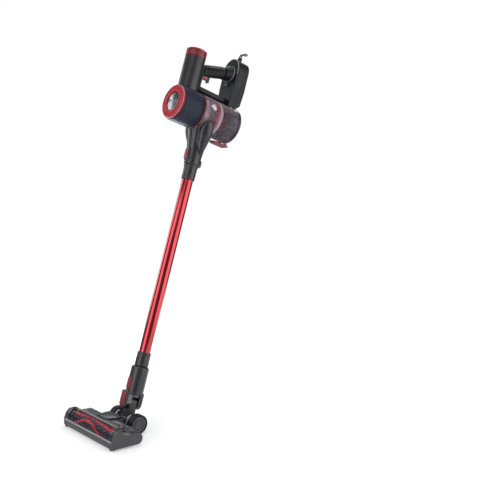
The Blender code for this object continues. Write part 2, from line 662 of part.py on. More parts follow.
def bin_lid():
    lid = bin_piece("cup_lid", [(0, -0.0968), (0.0528, -0.0968), (0.0528, -0.0990), (0.0565, -0.0990),
                                (0.0565, -0.1045), (0.0550, LID_FACE), (0, LID_FACE)], "black")
    arm = box("lid_arm", (-0.0100, 0.0992, 0.9900), (0.0100, 0.1055, 1.0000), parent=stick)
    barrel = rod("lid_barrel", 0.0031, (-0.0100, -LID_HINGE_V, LID_HINGE_Z), (0.0100, -LID_HINGE_V, LID_HINGE_Z),
                 parent=stick, sides=16)
    pin = rod("lid_pin", PIVOT_R, (-0.0148, -LID_HINGE_V, LID_HINGE_Z), (0.0148, -LID_HINGE_V, LID_HINGE_Z),
              parent=stick, sides=12)
    join(lid, arm, barrel, pin)
    bin_piece("lid_seal", [(0.0534, -0.0950), (0.0534, -0.0965), (0.0490, -0.0965), (0.0490, -0.0950)],
              "rubber", ring=True)

    plan = [(-0.0152, 0.1065), (-0.0152, 0.0560), (0.0, 0.0440), (0.0152, 0.0560), (0.0152, 0.1065)]
    latch = plate("cup_latch", [plan], 0.0048, "xy", 0.8729, "red_plastic", stick, edge=0.0008)
    hook = box("latch_hook", (-0.0110, 0.1000, 0.8740), (0.0110, 0.1042, 0.8816), parent=stick)
    web = box("latch_web", (-0.0120, 0.0740, 0.8740), (0.0120, 0.0820, 0.8820), parent=stick)
    axis = rod("latch_stub", PIVOT_R, (-0.0172, -LATCH_PIVOT_V, LATCH_PIVOT_Z),
               (0.0172, -LATCH_PIVOT_V, LATCH_PIVOT_Z), parent=stick, sides=12)
    join(latch, hook, web, axis)


def duct():
    """Inlet duct that spreads into two wings round the cup."""
    outer = [(0.0385, 0.8980), (0.0385, 0.8840), (0.0322, 0.8600), (0.0268, 0.8300), (0.0246, 0.8050),
             (NOZZLE_R, 0.7900), (NOZZLE_R, NOZZLE_Z)]
    body = turned("inlet_duct", [(0, 0.8980)] + outer + [(0, NOZZLE_Z)], "charcoal", stick, (0, 0, 0), "z", 28)
    half_plan = [(0.0, 0.0325), (0.0300, 0.0320), (0.0390, 0.0275), (0.0455, 0.0225), (0.0505, 0.0170),
                 (0.0540, 0.0110), (0.0552, 0.0040), (0.0545, -0.0030), (0.0515, -0.0095), (0.0465, -0.0150),
                 (0.0395, -0.0215), (0.0290, -0.0290), (0.0, -0.0350)]
    plan = [(x, -v) for x, v in half_plan] + [(-x, -v) for x, v in reversed(half_plan[1:-1])]
    wings = plate("wing_plan", [plan], 0.0720, "xy", 0.9000, None, stick)
    sleeve = turned("wing_sleeve", [(BIN_R + 0.0040, 0.0600), (BIN_R + 0.0040, -0.0600), (BIN_R - 0.005, -0.0600),
                                    (BIN_R - 0.005, 0.0600)], None, stick, (0, 0, BIN_Z), "front", 36, ring=True)
    boolean(sleeve, wings, "INTERSECT")
    lump = box("contact_lump", (-0.0080, 0.0150, NOZZLE_Z), (0.0080, 0.0315, 0.8010), parent=stick, edge=0.0020)
    boss = box("button_boss", (-0.0110, -0.0275, 0.7900), (0.0110, -0.0180, 0.8260), parent=stick, edge=0.0015)
    room = rod("cut_bin_room", BIN_R + GAP, (0, 0.0700, BIN_Z), (0, -0.0700, BIN_Z), parent=stick, sides=36)
    bore = rod("cut_duct_bore", DUCT_BORE_R, (0, 0, 0.7000), (0, 0, 0.8000), parent=stick, sides=28)
    throat = rod("cut_duct_throat", 0.0162, (0, 0, 0.7000), (0, 0, 0.9200), parent=stick, sides=28)
    hole_half = DUCT_BUTTON_HALF + GAP
    button_hole = box("cut_duct_button", (-hole_half, -0.0400, 0.7942), (hole_half, -0.0150, 0.8223), parent=stick)
    join(body, sleeve, lump, boss)
    cut(body, room, bore, throat, button_hole)
    box("duct_button", (-DUCT_BUTTON_HALF, -0.0300, 0.7945), (DUCT_BUTTON_HALF, -0.0205, 0.8220), "red_plastic",
        stick, 0.0016)


# ---------------------------------------------------------------- motor, spine and handle
def motor():
    inner = MOTOR_R - MOTOR_WALL
    place = (0, front(MOTOR_V), 0)
    housing = turned("motor_housing", [(MOTOR_R, MOTOR_TOP), (MOTOR_R, 0.9800), (inner, 0.9800),
                                       (inner, MOTOR_TOP)], "charcoal", stick, place, "z", 40, ring=True)
    room = rod("cut_bin_under_motor", BIN_R + 0.0010, (0, 0.0700, BIN_Z), (0, -0.1300, BIN_Z), parent=stick,
               sides=36)
    cut(housing, room)
    grooved = [(0.0285, CAP_TOP), (0.0316, CAP_TOP - 0.0015)]
    for number in range(3):
        height = CAP_TOP - 0.0060 - number * 0.0050
        grooved += [(0.0316, height), (0.0307, height - 0.0004), (0.0307, height - 0.0010),
                    (0.0316, height - 0.0014)]
    turned("motor_cap", [(0, CAP_TOP - 0.0010)] + grooved + [(0.0316, MOTOR_TOP + GAP),
                                                            (inner - GAP, MOTOR_TOP + GAP),
                                                            (inner - GAP, MOTOR_TOP - 0.0030),
                                                            (0, MOTOR_TOP - 0.0030)],
           "red_plastic", stick, place, "z", 24)
    turned("exhaust_filter", [(0.0270, 1.0895), (0.0270, 1.0780), (0.0100, 1.0780), (0.0100, 1.0895)],
           "filter_white", stick, place, "z", 20, ring=True)
    turned("fan_motor", [(0, 1.0760), (0.0200, 1.0760), (0.0200, 1.0540), (inner - GAP, 1.0540),
                         (inner - GAP, 1.0500), (0.0200, 1.0500), (0.0200, 1.0320), (0.0020, 1.0320),
                         (0.0020, 1.0120), (0, 1.0120)], "steel", stick, place, "z", 20)
    wheel = turned("impeller", [(0.0060, 1.0280), (0.0240, 1.0180), (0.0240, 1.0160), (0.0023, 1.0160),
                                (0.0023, 1.0280)], "steel", stick, place, "z", 20, ring=True)
    for number in range(7):
        angle = 2 * math.pi * number / 7
        blade = box(f"blade_{number}", (0, 0, 0), (0.0160, 0.0010, 0.0090), parent=stick)
        blade.location = (0.0140 * math.cos(angle), front(MOTOR_V) + 0.0140 * math.sin(angle), 1.0225)
        blade.rotation_euler = (0, 0, angle + 0.5)
        join(wheel, blade)


def spine():
    bar = box("spine_frame", (-0.0190, -0.0620, 0.9800), (0.0190, 0.0558, SPINE_TOP), "charcoal", stick, 0.0020)
    web = box("front_web", (-0.0130, -0.0600, 1.0050), (0.0130, front(0.0448), 1.0780), parent=stick, edge=0.002)
    join(bar, web)
    room = rod("cut_bin_under_spine", BIN_R + 0.0010, (0, 0.0900, BIN_Z), (0, -0.0900, BIN_Z), parent=stick,
               sides=36)
    motor_room = rod("cut_motor_room", MOTOR_R + GAP, (0, front(MOTOR_V), 0.9000), (0, front(MOTOR_V), 1.2000),
                     parent=stick, sides=40)
    cut(bar, room, motor_room)


def handle_axis(v):
    """Point on the handle's centre line at distance v towards the front."""
    return (0.0, front(v), HANDLE_FRONT_Z + (HANDLE_FRONT_V - v) * math.tan(HANDLE_RISE))


def handle():
    squash = HANDLE_HALF_X / HANDLE_HALF_Z
    grip = rod("handle", HANDLE_HALF_Z, handle_axis(0.0650), handle_axis(-0.0550), "charcoal", stick, 28, squash)
    front_room = box("cut_handle_front", (-0.05, -0.1200, 0.9500), (0.05, front(HANDLE_FRONT_V), 1.1500),
                     parent=stick)
    rear_room = box("cut_handle_rear", (-0.05, front(HANDLE_REAR_V), 0.9500), (0.05, 0.1200, 1.1800), parent=stick)
    trigger_room = box("cut_trigger", (-0.0065, -0.0442, 1.0300), (0.0065, -0.0214, 1.0640), parent=stick)
    cut(grip, front_room, rear_room, trigger_room)
    box("trigger", (-0.0062, -0.0438, 1.0425), (0.0062, -0.0220, 1.0580), "red_plastic", stick, 0.0020)

    hook_outline = arc((-0.0178, 1.0400), 0.0036, 180, 360, 6) + [(-0.0138, 1.0620), (-0.0211, 1.0620)]
    hook = plate("finger_hook", [hook_outline], 0.0100, "yz", 0.0, "black", stick)
    handle_room = rod("cut_hook_top", HANDLE_HALF_Z + GAP, handle_axis(0.0650), handle_axis(-0.0550), None, stick,
                      28, squash)
    cut(hook, handle_room)

    lean = math.pi / 2 - HANDLE_RISE
    foot_base = handle_axis(HANDLE_REAR_V)
    foot = turned("handle_foot", [(0, -0.0100), (0.0190, -0.0100), (0.0198, 0.0060), (0.0260, 0.0250), (0, 0.0400)][::-1],
                  "black", stick, foot_base, "z", 28)
    foot.rotation_euler = (-lean, 0, 0)
    near = box("cut_foot_front", (-0.05, -0.05, 0.95), (0.05, front(HANDLE_REAR_V) + GAP, 1.18), parent=stick)
    far = box("cut_foot_rear", (-0.05, front(BATTERY_FACE_V) - GAP, 0.95), (0.05, 0.15, 1.20), parent=stick)
    cut(foot, near, far)


# ---------------------------------------------------------------- battery and loop
def battery_block(name, colour):
    """The whole pack: straight nose, round rear end."""
    round_end = arc((0.0, BATTERY_TOP_Z - BATTERY_HALF), BATTERY_HALF, 0, 180, 14)
    outline = round_end + [(-BATTERY_HALF, 1.0500), (-BATTERY_NOSE_HALF, BATTERY_LOW_Z),
                           (BATTERY_NOSE_HALF, BATTERY_LOW_Z), (BATTERY_HALF, 1.0500)]
    thick = BATTERY_FACE_V - BATTERY_BACK_V
    return plate(name, [outline], thick, "xz", (BATTERY_FACE_V + BATTERY_BACK_V) / 2, colour, stick, edge=0.0100,
                 segments=3)


def heel_cutter():
    """What is left outside the rounded lower rear corner of the battery."""
    y, z = front(BATTERY_BACK_V) - BATTERY_HEEL_R, BATTERY_HEEL_Z + BATTERY_HEEL_R
    corner = box("cut_battery_heel", (-0.0500, y, 0.9500), (0.0500, y + 0.0300, z), parent=stick)
    heel = rod("battery_heel_round", BATTERY_HEEL_R, (-0.0600, y, z), (0.0600, y, z), parent=stick, sides=32)
    cut(corner, heel)
    return corner


def battery():
    room = rod("cut_bin_under_battery", BIN_R + 0.0020, (0, 0.1300, BIN_Z), (0, 0.0300, BIN_Z), parent=stick,
               sides=36)
    hinge_room = box("cut_hinge_room", (-0.0190, 0.0400, 0.9500), (0.0190, 0.1300, 1.0055), parent=stick)
    rear_half = box("cut_rear_half", (-0.06, -BATTERY_SPLIT_V, 0.95), (0.06, 0.15, 1.20), parent=stick)
    front_half = box("cut_front_half", (-0.06, 0.0, 0.95), (0.06, -BATTERY_SPLIT_V + GAP, 1.20), parent=stick)
    inside = box("cut_battery_inside", (-0.0280, 0.0620, 1.0200), (0.0280, 0.0990, 1.1200), parent=stick)
    button_room = box("cut_battery_button", (-0.0083, 0.0500, 1.0567), (0.0083, 0.0622, 1.0683), parent=stick)
    case = battery_block("battery_case", "charcoal")
    cut(case, room, hinge_room, rear_half, inside, button_room)
    cover = battery_block("battery_cover", "charcoal")
    cut(cover, room, hinge_room, front_half, inside, heel_cutter())
    box("battery_button", (-0.0080, 0.0535, 1.0570), (0.0080, 0.0603, 1.0680), "head_grey", stick, 0.0015)
    cells = box("battery_cells", (-0.0260, 0.0790, 1.0220), (0.0260, 0.0820, 1.0900), "cell_blue", stick)
    for column in (-1, 0, 1):
        for row in (-1, 1):
            spot = (column * 0.0182, 0.0805 + row * 0.0090)
            cell = rod(f"cell_{column}_{row}", 0.0090, (*spot, 1.0230), (*spot, 1.0880), parent=stick, sides=20)
            join(cells, cell)


def loop_route():
    """Hanging loop: out of the boot, up and back, and down into the boot again."""
    half = [(0.0042, 0.0820, 1.1590), (0.0044, 0.0822, 1.1640), (0.0056, 0.0845, 1.1705), (0.0074, 0.0890, 1.1760),
            (0.0084, 0.0945, 1.1785), (0.0070, 0.1000, 1.1790), (0.0032, 0.1035, 1.1785)]
    return half + [(-x, y, z) for x, y, z in reversed(half)]


def spline_points(route, per_span):
    """Points read from a smooth curve through the route."""
    places = [Vector(point) for point in route]
    places = [2 * places[0] - places[1]] + places + [2 * places[-1] - places[-2]]
    points = []
    for i in range(1, len(places) - 2):
        before, start, end, after = places[i - 1:i + 3]
        for step in range(per_span):
            t = step / per_span
            points.append(0.5 * (2 * start + (end - before) * t + (2 * before - 5 * start + 4 * end - after) * t ** 2
                                 + (3 * start - before - 3 * end + after) * t ** 3))
    points.append(places[-2])
    return points


def hang_loop():
    boot = box("cord_boot", (-0.0075, 0.0782, 1.1400), (0.0075, 0.0858, 1.1587), "black", stick, 0.0015)
    battery_room = rod("cut_boot_foot", BATTERY_HALF + GAP, (0, 0.0500, BATTERY_TOP_Z - BATTERY_HALF),
                       (0, 0.1100, BATTERY_TOP_Z - BATTERY_HALF), parent=stick, sides=64)
    cut(boot, battery_room)
    wire("hang_loop", spline_points(loop_route(), 2), CORD_R, "black", stick)


# ---------------------------------------------------------------- build
head_base()
head_shell()
brush_drive()
wheels()
pivot_yoke()
neck()
wand()
dust_bin()
bin_lid()
duct()
motor()
spine()
handle()
battery()
hang_loop()
for part in PARTS.objects:
    smooth(part)
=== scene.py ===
"""Looks of the cordless stick vacuum: materials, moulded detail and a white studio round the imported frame.

Lengths are metres. The row frame has +Z up and -Y towards the front of the floor head. Pieces of the wand and hand
unit are built in the stick frame: x across, -y towards the dust bin's front face, z up the wand from the axle.
"""

import random
from math import asin, atan2, cos, pi, radians, sin, sqrt, tan

import bmesh
import bpy
from mathutils import Matrix, Vector


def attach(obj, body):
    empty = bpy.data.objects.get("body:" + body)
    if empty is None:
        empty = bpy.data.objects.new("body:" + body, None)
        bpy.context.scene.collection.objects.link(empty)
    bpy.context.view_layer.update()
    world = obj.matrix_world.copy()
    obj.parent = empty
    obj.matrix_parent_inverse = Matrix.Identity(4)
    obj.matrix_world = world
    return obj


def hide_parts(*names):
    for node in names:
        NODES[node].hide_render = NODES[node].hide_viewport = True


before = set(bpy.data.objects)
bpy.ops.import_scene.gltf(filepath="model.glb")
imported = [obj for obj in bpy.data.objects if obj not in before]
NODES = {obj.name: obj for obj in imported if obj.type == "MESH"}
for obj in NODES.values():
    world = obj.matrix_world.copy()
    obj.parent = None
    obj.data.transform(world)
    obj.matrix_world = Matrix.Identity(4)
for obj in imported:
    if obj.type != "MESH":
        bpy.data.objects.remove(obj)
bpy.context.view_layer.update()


def at(x, y, z):
    return Matrix.Translation((x, y, z))


def turned(axis, degrees):
    return Matrix.Rotation(radians(degrees), 4, axis)


# ---------------------------------------------------------------- the CAD's driving sizes
AXLE_Y = -0.154
AXLE_Z = 0.028
BIN_W = 0.94
BIN_R = 0.056
BIN_INNER = BIN_R - 0.0022
BIN_FRONT = 0.1217
MOTOR_V = 0.08
MOTOR_R = 0.0313
MOTOR_INNER = MOTOR_R - 0.0025
MOTOR_TOP = 1.0935
CAP_TOP = 1.116
TUBE_R = 0.0171
COLLAR_R = 0.0204
ROLLER_Y = -0.102
ROLLER_Z = 0.0262
WHEEL_R = 0.028
GAP = 0.0003

HEAD = at(0.0, AXLE_Y, 0.0)
STICK = at(0.0, AXLE_Y, AXLE_Z) @ turned("X", -17.4)
# Z runs from the bin's lid to its front face
BIN = STICK @ at(0.0, 0.0, BIN_W) @ turned("X", 90)
MOTOR = STICK @ at(0.0, -MOTOR_V, 0.0)
LOCK = HEAD @ at(0.102, -0.079, 0.0)


def in_scene(name, data):
    obj = bpy.data.objects.new(name, data)
    bpy.context.scene.collection.objects.link(obj)
    return obj


# ---------------------------------------------------------------- nodes
def fill(tree, node, values):
    """Sets inputs of a node, by name or number, to values or to other nodes' outputs."""
    for key, value in values.items():
        if isinstance(value, bpy.types.NodeSocket):
            tree.links.new(value, node.inputs[key])
        else:
            node.inputs[key].default_value = value


def add_node(tree, kind, values=None, **settings):
    made = tree.nodes.new(kind)
    for key, value in settings.items():
        setattr(made, key, value)
    fill(tree, made, values or {})
    return made


# ---------------------------------------------------------------- camera and studio
CAMERA_PLACE = Vector((1.880, -1.272, 0.727))
CAMERA_TURN = (radians(85.449), 0.0, radians(50.625))
CAMERA_LENS = 56.65
AIM = Vector((0.0, 0.02, 0.55))
WHITE = (1.0, 1.0, 1.0, 1.0)
# bearing from the camera towards its right and rise, in degrees, then distance, width, height and watts
SOFTBOXES = {
    "strip_left": (-51, 8, 1.7, 1.35, 1.9, 17),
    "strip_right": (64, 8, 1.7, 2.0, 1.9, 25),
    "top": (0, 88, 1.9, 2.2, 2.2, 24),
    "front_fill": (-20, 38, 2.4, 1.2, 1.2, 4),
    "far_left": (-122, 18, 2.0, 1.2, 1.4, 11),
    "rear_fill": (175, 35, 2.2, 1.6, 1.2, 16),
}


def add_camera():
    data = bpy.data.cameras.new("camera")
    data.lens = CAMERA_LENS
    data.sensor_width = 36.0
    camera = in_scene("camera", data)
    camera.location = CAMERA_PLACE
    camera.rotation_euler = CAMERA_TURN
    bpy.context.scene.camera = camera


def add_softbox(name, bearing, rise, distance, width, height, watts):
    out = (CAMERA_PLACE - AIM).normalized()
    flat = turned("Z", bearing).to_3x3() @ Vector((out.x, out.y, 0.0)).normalized()
    tilt = radians(rise)
    away = flat * cos(tilt) + Vector((0.0, 0.0, sin(tilt)))
    data = bpy.data.lights.new(name, "AREA")
    data.shape = "RECTANGLE"
    data.size = width
    data.size_y = height
    data.energy = watts
    light = in_scene(name, data)
    light.location = AIM + away * distance
    light.rotation_euler = (-away).to_track_quat("-Z", "Y").to_euler()


def add_world():
    """White behind the object, and a dimmer grey as what lights it."""
    world = bpy.data.worlds.new("studio")
    bpy.context.scene.world = world
    world.use_nodes = True
    tree = world.node_tree
    tree.nodes.clear()
    seen = add_node(tree, "ShaderNodeBackground", {"Color": WHITE, "Strength": 1.0})
    light = add_node(tree, "ShaderNodeBackground", {"Color": (0.93, 0.96, 1.0, 1.0), "Strength": 0.22})
    path = add_node(tree, "ShaderNodeLightPath")
    mix = add_node(tree, "ShaderNodeMixShader", {0: path.outputs["Is Camera Ray"], 1: light.outputs["Background"],
                                                 2: seen.outputs["Background"]})
    add_node(tree, "ShaderNodeOutputWorld", {"Surface": mix.outputs["Shader"]})


def add_studio():
    add_world()
    for name, numbers in SOFTBOXES.items():
        add_softbox(name, *numbers)
    bpy.context.scene.view_settings.view_transform = "Standard"


# ---------------------------------------------------------------- materials
MATERIALS = {}


class Shader:
    """One Principled material and short ways to add nodes to it."""

    def __init__(self, name, colour, rough, metal=0.0, coat=0.0, coat_rough=0.08, specular=0.5):
        self.material = bpy.data.materials.new(name)
        self.material.use_nodes = True
        self.tree = self.material.node_tree
        self.main = self.tree.nodes["Principled BSDF"]
        self.colour = colour
        self.fill({"Base Color": (*colour, 1.0), "Roughness": rough, "Metallic": metal, "Coat Weight": coat,
                   "Coat Roughness": coat_rough, "Specular IOR Level": specular})
        self.place = self.node("ShaderNodeTexCoord").outputs["Object"]
        MATERIALS[name] = self.material

    def fill(self, values):
        fill(self.tree, self.main, values)

    def node(self, kind, values=None, **settings):
        return add_node(self.tree, kind, values, **settings)

    def maths(self, operation, *values, **settings):
        made = self.node("ShaderNodeMath", dict(enumerate(values)), operation=operation, **settings)
        return made.outputs["Value"]

    def noise(self, scale, detail=3.0, rough=0.55, stretch=None):
        place = self.place
        if stretch:
            place = self.node("ShaderNodeMapping", {"Vector": place, "Scale": stretch}).outputs["Vector"]
        return self.node("ShaderNodeTexNoise", {"Vector": place, "Scale": scale, "Detail": detail,
                                                "Roughness": rough}).outputs["Fac"]

    def spread(self, value, low, high, start=0.3, end=0.7):
        return self.node("ShaderNodeMapRange", {"Value": value, "From Min": start, "From Max": end, "To Min": low,
                                                "To Max": high}).outputs["Result"]

    def blend(self, value, first, second):
        return self.node("ShaderNodeMix", {"A": (*first, 1.0), "B": (*second, 1.0), "Factor": value},
                         data_type="RGBA").outputs["Result"]

    def tint(self, value, amount):
        """Base colour that wanders by amount either way."""
        darker = tuple(c * (1.0 - amount) for c in self.colour)
        lighter = tuple(min(c * (1.0 + amount) + 0.002, 1.0) for c in self.colour)
        self.fill({"Base Color": self.blend(value, darker, lighter)})

    def roughness(self, value, low, high):
        self.fill({"Roughness": self.spread(value, low, high)})

    def bump(self, value, strength, depth):
        made = self.node("ShaderNodeBump", {"Height": value, "Strength": strength, "Distance": depth})
        self.fill({"Normal": made.outputs["Normal"]})

    def finish(self, drift, amount, gloss, low, high, relief, strength, depth):
        """Drift of colour, gloss and relief, each from the arguments of its noise and its amounts."""
        self.tint(self.noise(*drift), amount)
        self.roughness(self.noise(*gloss), low, high)
        self.bump(self.noise(*relief), strength, depth)

    def mix(self, share, first, second):
        """Makes the surface go from the first shader to the second with share."""
        mixed = self.node("ShaderNodeMixShader", {0: share, 1: first, 2: second}).outputs["Shader"]
        fill(self.tree, self.tree.nodes["Material Output"], {"Surface": mixed})


# colour, roughness and grain, then coat, specular level and mottle where they aren't the usual ones
PLASTICS = {
    "charcoal": ((0.0098, 0.01, 0.014), 0.38, 0.35, 0.1),
    "charcoal_gloss": ((0.0085, 0.0088, 0.013), 0.33, 0.03, 0.16),
    "charcoal_matt": ((0.004, 0.0042, 0.0062), 0.42, 0.3, 0.0, 0.26),
    "head_grey": ((0.034, 0.034, 0.038), 0.38, 0.3, 0.1),
    "face_grey": ((0.022, 0.022, 0.025), 0.42, 0.3, 0.05),
    # light grey for the bumper's lip, and a painted highlight on the grip ribs and the handle's foot rim
    "lip_and_highlight_grey": ((0.15, 0.15, 0.162), 0.3, 0.05, 0.3),
    # light grey trim, and a painted highlight on the side caps' upper edges, the battery's top edge, the window's
    # edges and the axle shrouds
    "trim_and_highlight_grey": ((0.28, 0.28, 0.295), 0.24, 0.05, 0.4),
    "black": ((0.005, 0.005, 0.0062), 0.34, 0.2, 0.15),
    "black_gloss": ((0.0055, 0.0055, 0.0068), 0.22, 0.08, 0.5),
    "navy": ((0.0045, 0.0095, 0.023), 0.46, 0.03, 0.0, 0.35),
    "red_plastic": ((0.25, 0.0035, 0.013), 0.3, 0.03, 0.25),
    "red_bright": ((0.39, 0.003, 0.014), 0.46, 0.03, 0.1, 0.3),
    # painted shade laid in the exhaust cap's grooves
    "red_groove_shade": ((0.05, 0.003, 0.006), 0.42, 0.03),
    "red_deep": ((0.17, 0.006, 0.014), 0.4, 0.3),
    "cell_blue": ((0.03, 0.09, 0.3), 0.42, 0.1),
    # white for the charge lenses, and a painted highlight on the shell's shoulder and the step's edge
    "white_and_glint": ((0.64, 0.61, 0.62), 0.22, 0.05, 0.3, 0.5, 0.04),
    "rubber": ((0.0038, 0.0038, 0.0045), 0.55, 0.6, 0.0, 0.28),
    "rubber_grey": ((0.22, 0.22, 0.23), 0.55, 0.5, 0.0, 0.4),
}
# colour and sheen
BRISTLES = {
    "bristle_red": ((0.8, 0.016, 0.06), 0.3),
    "pile_black": ((0.004, 0.0048, 0.011), 0.02),
    "pile_grey": ((0.024, 0.027, 0.036), 0.05),
}
# colour of what shows through, colour of the haze, roughness and milkiness
CLEARS = {
    "clear_shell": ((0.92, 0.93, 0.96), (0.1, 0.12, 0.16), 0.06, 0.03),
    "clear_tint": ((0.46, 0.49, 0.62), (0.02, 0.026, 0.055), 0.06, 0.55),
    "clear_cup": ((0.97, 0.93, 0.95), (0.4, 0.33, 0.36), 0.05, 0.055),
    "clear_window": ((0.95, 0.96, 0.98), (0.1, 0.1, 0.12), 0.04, 0.02),
    # milky clear step ring, its pale milkiness partly a painted glint
    "clear_ring_and_glint": ((0.72, 0.7, 0.72), (0.8, 0.77, 0.79), 0.1, 0.42),
}


def make_plastic(name, colour, rough, grain, coat=0.0, specular=0.5, mottle=0.12):
    """Moulded plastic: fine spark-eroded grain, slow colour drift and small changes of gloss."""
    made = Shader(name, colour, rough, coat=coat, specular=specular)
    made.finish((38.0, 4.0), mottle, (120.0, 5.0, 0.65), rough * 0.86, rough * 1.16, (2600.0, 2.0), grain, 0.00012)


def make_bristle(name, colour, sheen):
    made = Shader(name, colour, 0.72, specular=0.3)
    made.fill({"Sheen Weight": sheen, "Sheen Roughness": 0.4})
    made.finish((900.0, 3.0), 0.35, (500.0,), 0.62, 0.85, (3500.0, 3.0), 0.5, 0.0002)


def make_clear(name, through, haze, rough, milk):
    """Thin clear plastic: see-through with a tint, and milky at a slant and a little all over."""
    made = Shader(name, haze, rough)
    made.roughness(made.noise(60.0, 3.0), rough * 0.7, rough * 1.5)
    made.bump(made.noise(45.0, 2.0), 0.05, 0.0004)
    slant = made.node("ShaderNodeLayerWeight", {"Blend": 0.5}).outputs["Facing"]
    patch = made.spread(made.noise(22.0, 2.0), milk * 0.75, milk * 1.3)
    total = made.maths("ADD", made.maths("POWER", slant, 4.0), patch, use_clamp=True)
    clear = made.node("ShaderNodeBsdfTransparent", {"Color": (*through, 1.0)})
    made.mix(total, clear.outputs["BSDF"], made.main.outputs["BSDF"])


def make_anodised():
    """Red anodised tube: fine lines drawn along its length."""
    made = Shader("red_anodised", (0.44, 0.022, 0.033), 0.16, metal=1.0, coat=0.8, coat_rough=0.12)
    lines = made.noise(900.0, 2.0, stretch=(1.0, 1.0, 0.012))
    made.tint(made.noise(60.0, 3.0, stretch=(1.0, 1.0, 0.08)), 0.1)
    made.roughness(lines, 0.13, 0.2)
    made.bump(lines, 0.1, 0.00006)


def turn_angle(made, centre, axis_u, axis_v):
    """Angle round an axis, as 0 to 1, from object coordinates."""
    offset = made.node("ShaderNodeVectorMath", {0: made.place, 1: centre}, operation="SUBTRACT").outputs["Vector"]
    dots = [made.node("ShaderNodeVectorMath", {0: offset, 1: axis}, operation="DOT_PRODUCT").outputs["Value"]
            for axis in (axis_u, axis_v)]
    return made.spread(made.maths("ARCTAN2", *dots), 0.0, 1.0, -pi, pi)


def make_disc():
    """Turned steel: fine lines round its middle in its gloss and relief, and a painted highlight, a lighter wedge of
    base colour fanning out from its middle.
    """
    made = Shader("disc_steel", (0.46, 0.49, 0.52), 0.3, metal=0.8)
    turn = turn_angle(made, BIN.translation, (1.0, 0.0, 0.0), tuple(BIN.col[1].xyz))
    fine = made.node("ShaderNodeTexNoise", {"W": turn, "Scale": 320.0}, noise_dimensions="1D").outputs["Fac"]
    painted_glint_wedge = made.node("ShaderNodeTexNoise", {"W": turn, "Scale": 4.0, "Detail": 1.0}, noise_dimensions="1D")
    share = made.spread(painted_glint_wedge.outputs["Fac"], 0.0, 1.0, 0.46, 0.7)
    # painted highlight: the base colour goes light in a wedge round the disc's axis
    made.fill({"Base Color": made.blend(share, (0.06, 0.068, 0.076), (0.42, 0.42, 0.43))})
    made.roughness(fine, 0.2, 0.34)
    made.bump(fine, 0.18, 0.0001)


def make_materials():
    for maker, table in ((make_plastic, PLASTICS), (make_bristle, BRISTLES), (make_clear, CLEARS)):
        for name, numbers in table.items():
            maker(name, *numbers)
    make_anodised()
    make_disc()
    steel = Shader("steel", (0.5, 0.51, 0.53), 0.3, metal=1.0)
    steel.finish((90.0, 4.0), 0.08, (300.0, 4.0), 0.24, 0.38, (1800.0, 2.0), 0.1, 0.00008)
    paper = Shader("filter_white", (0.62, 0.62, 0.59), 0.85)
    paper.finish((220.0, 5.0), 0.1, (160.0,), 0.78, 0.95, (1400.0, 4.0, 0.7), 0.6, 0.0003)


# ---------------------------------------------------------------- pieces
def place(obj, name, material, body, slot, node=None):
    """Makes a piece of the object, which stands for a CAD node if one is given."""
    obj.name = name
    obj.data.name = name
    obj.data.materials.clear()
    obj.data.materials.append(MATERIALS[material])
    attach(obj, body)
    if node:
        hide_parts(node)


def smooth(mesh, sharp):
    """Smooth shading, broken at edges sharper than an angle in degrees."""
    mesh.shade_smooth()
    mesh.set_sharp_from_angle(angle=radians(sharp))


def new_object(bm, name, matrix=None):
    mesh = bpy.data.meshes.new(name)
    bm.to_mesh(mesh)
    bm.free()
    if matrix is not None:
        mesh.transform(matrix)
    return in_scene(name, mesh)


def from_bmesh(bm, name, material, body, slot, matrix=None, sharp=32, node=None):
    bmesh.ops.recalc_face_normals(bm, faces=bm.faces)
    obj = new_object(bm, name, matrix)
    smooth(obj.data, sharp)
    place(obj, name, material, body, slot, node)
    return obj


def soften(obj, width):
    """Fine bevel on the sharp edges."""
    weld = obj.modifiers.new("Weld", "WELD")
    weld.merge_threshold = 0.00002
    bevel = obj.modifiers.new("Bevel", "BEVEL")
    bevel.width = width
    bevel.segments = 2
    bevel.limit_method = "ANGLE"
    bevel.angle_limit = radians(40)
    bevel.harden_normals = True


# ---------------------------------------------------------------- mesh helpers
def mid_way(first, second, t):
    return first + (second - first) * t


def arc(middle, radius, start, end, count):
    """Points of a circle's arc in a plane, in degrees."""
    turns = [radians(start + (end - start) * i / count) for i in range(count + 1)]
    return [(middle[0] + radius * cos(a), middle[1] + radius * sin(a)) for a in turns]


def skin(bm, first, second, closed=True):
    """Adds the faces between two rows of vertices, either of which may be a single point."""
    count = max(len(first), len(second))
    faces = []
    for i in range(count if closed else count - 1):
        j = (i + 1) % count
        corners = dict.fromkeys((first[i % len(first)], first[j % len(first)], second[j % len(second)],
                                 second[i % len(second)]))
        if len(corners) > 2:
            faces.append(bm.faces.new(list(corners)))
    return faces


def skins(bm, rows, closed=True):
    return [face for pair in zip(rows, rows[1:]) for face in skin(bm, *pair, closed=closed)]


def plate(bm, low, high):
    """Adds the solid between two grids of vertices."""
    for grid in (low, high):
        skins(bm, grid, False)
    for row in (0, -1):
        skin(bm, low[row], high[row], False)
        skin(bm, [line[row] for line in low], [line[row] for line in high], False)


def prism(bm, near, far):
    """Adds the solid between two outlines with as many points."""
    near, far = ([bm.verts.new(point) for point in outline] for outline in (near, far))
    skin(bm, near, far)
    bm.faces.new(near)
    bm.faces.new(far[::-1])


def ribbon(bm, outline, x_low, x_high):
    """Adds a (y, z) outline drawn out along X."""
    prism(bm, [(x_low, y, z) for y, z in outline], [(x_high, y, z) for y, z in outline])


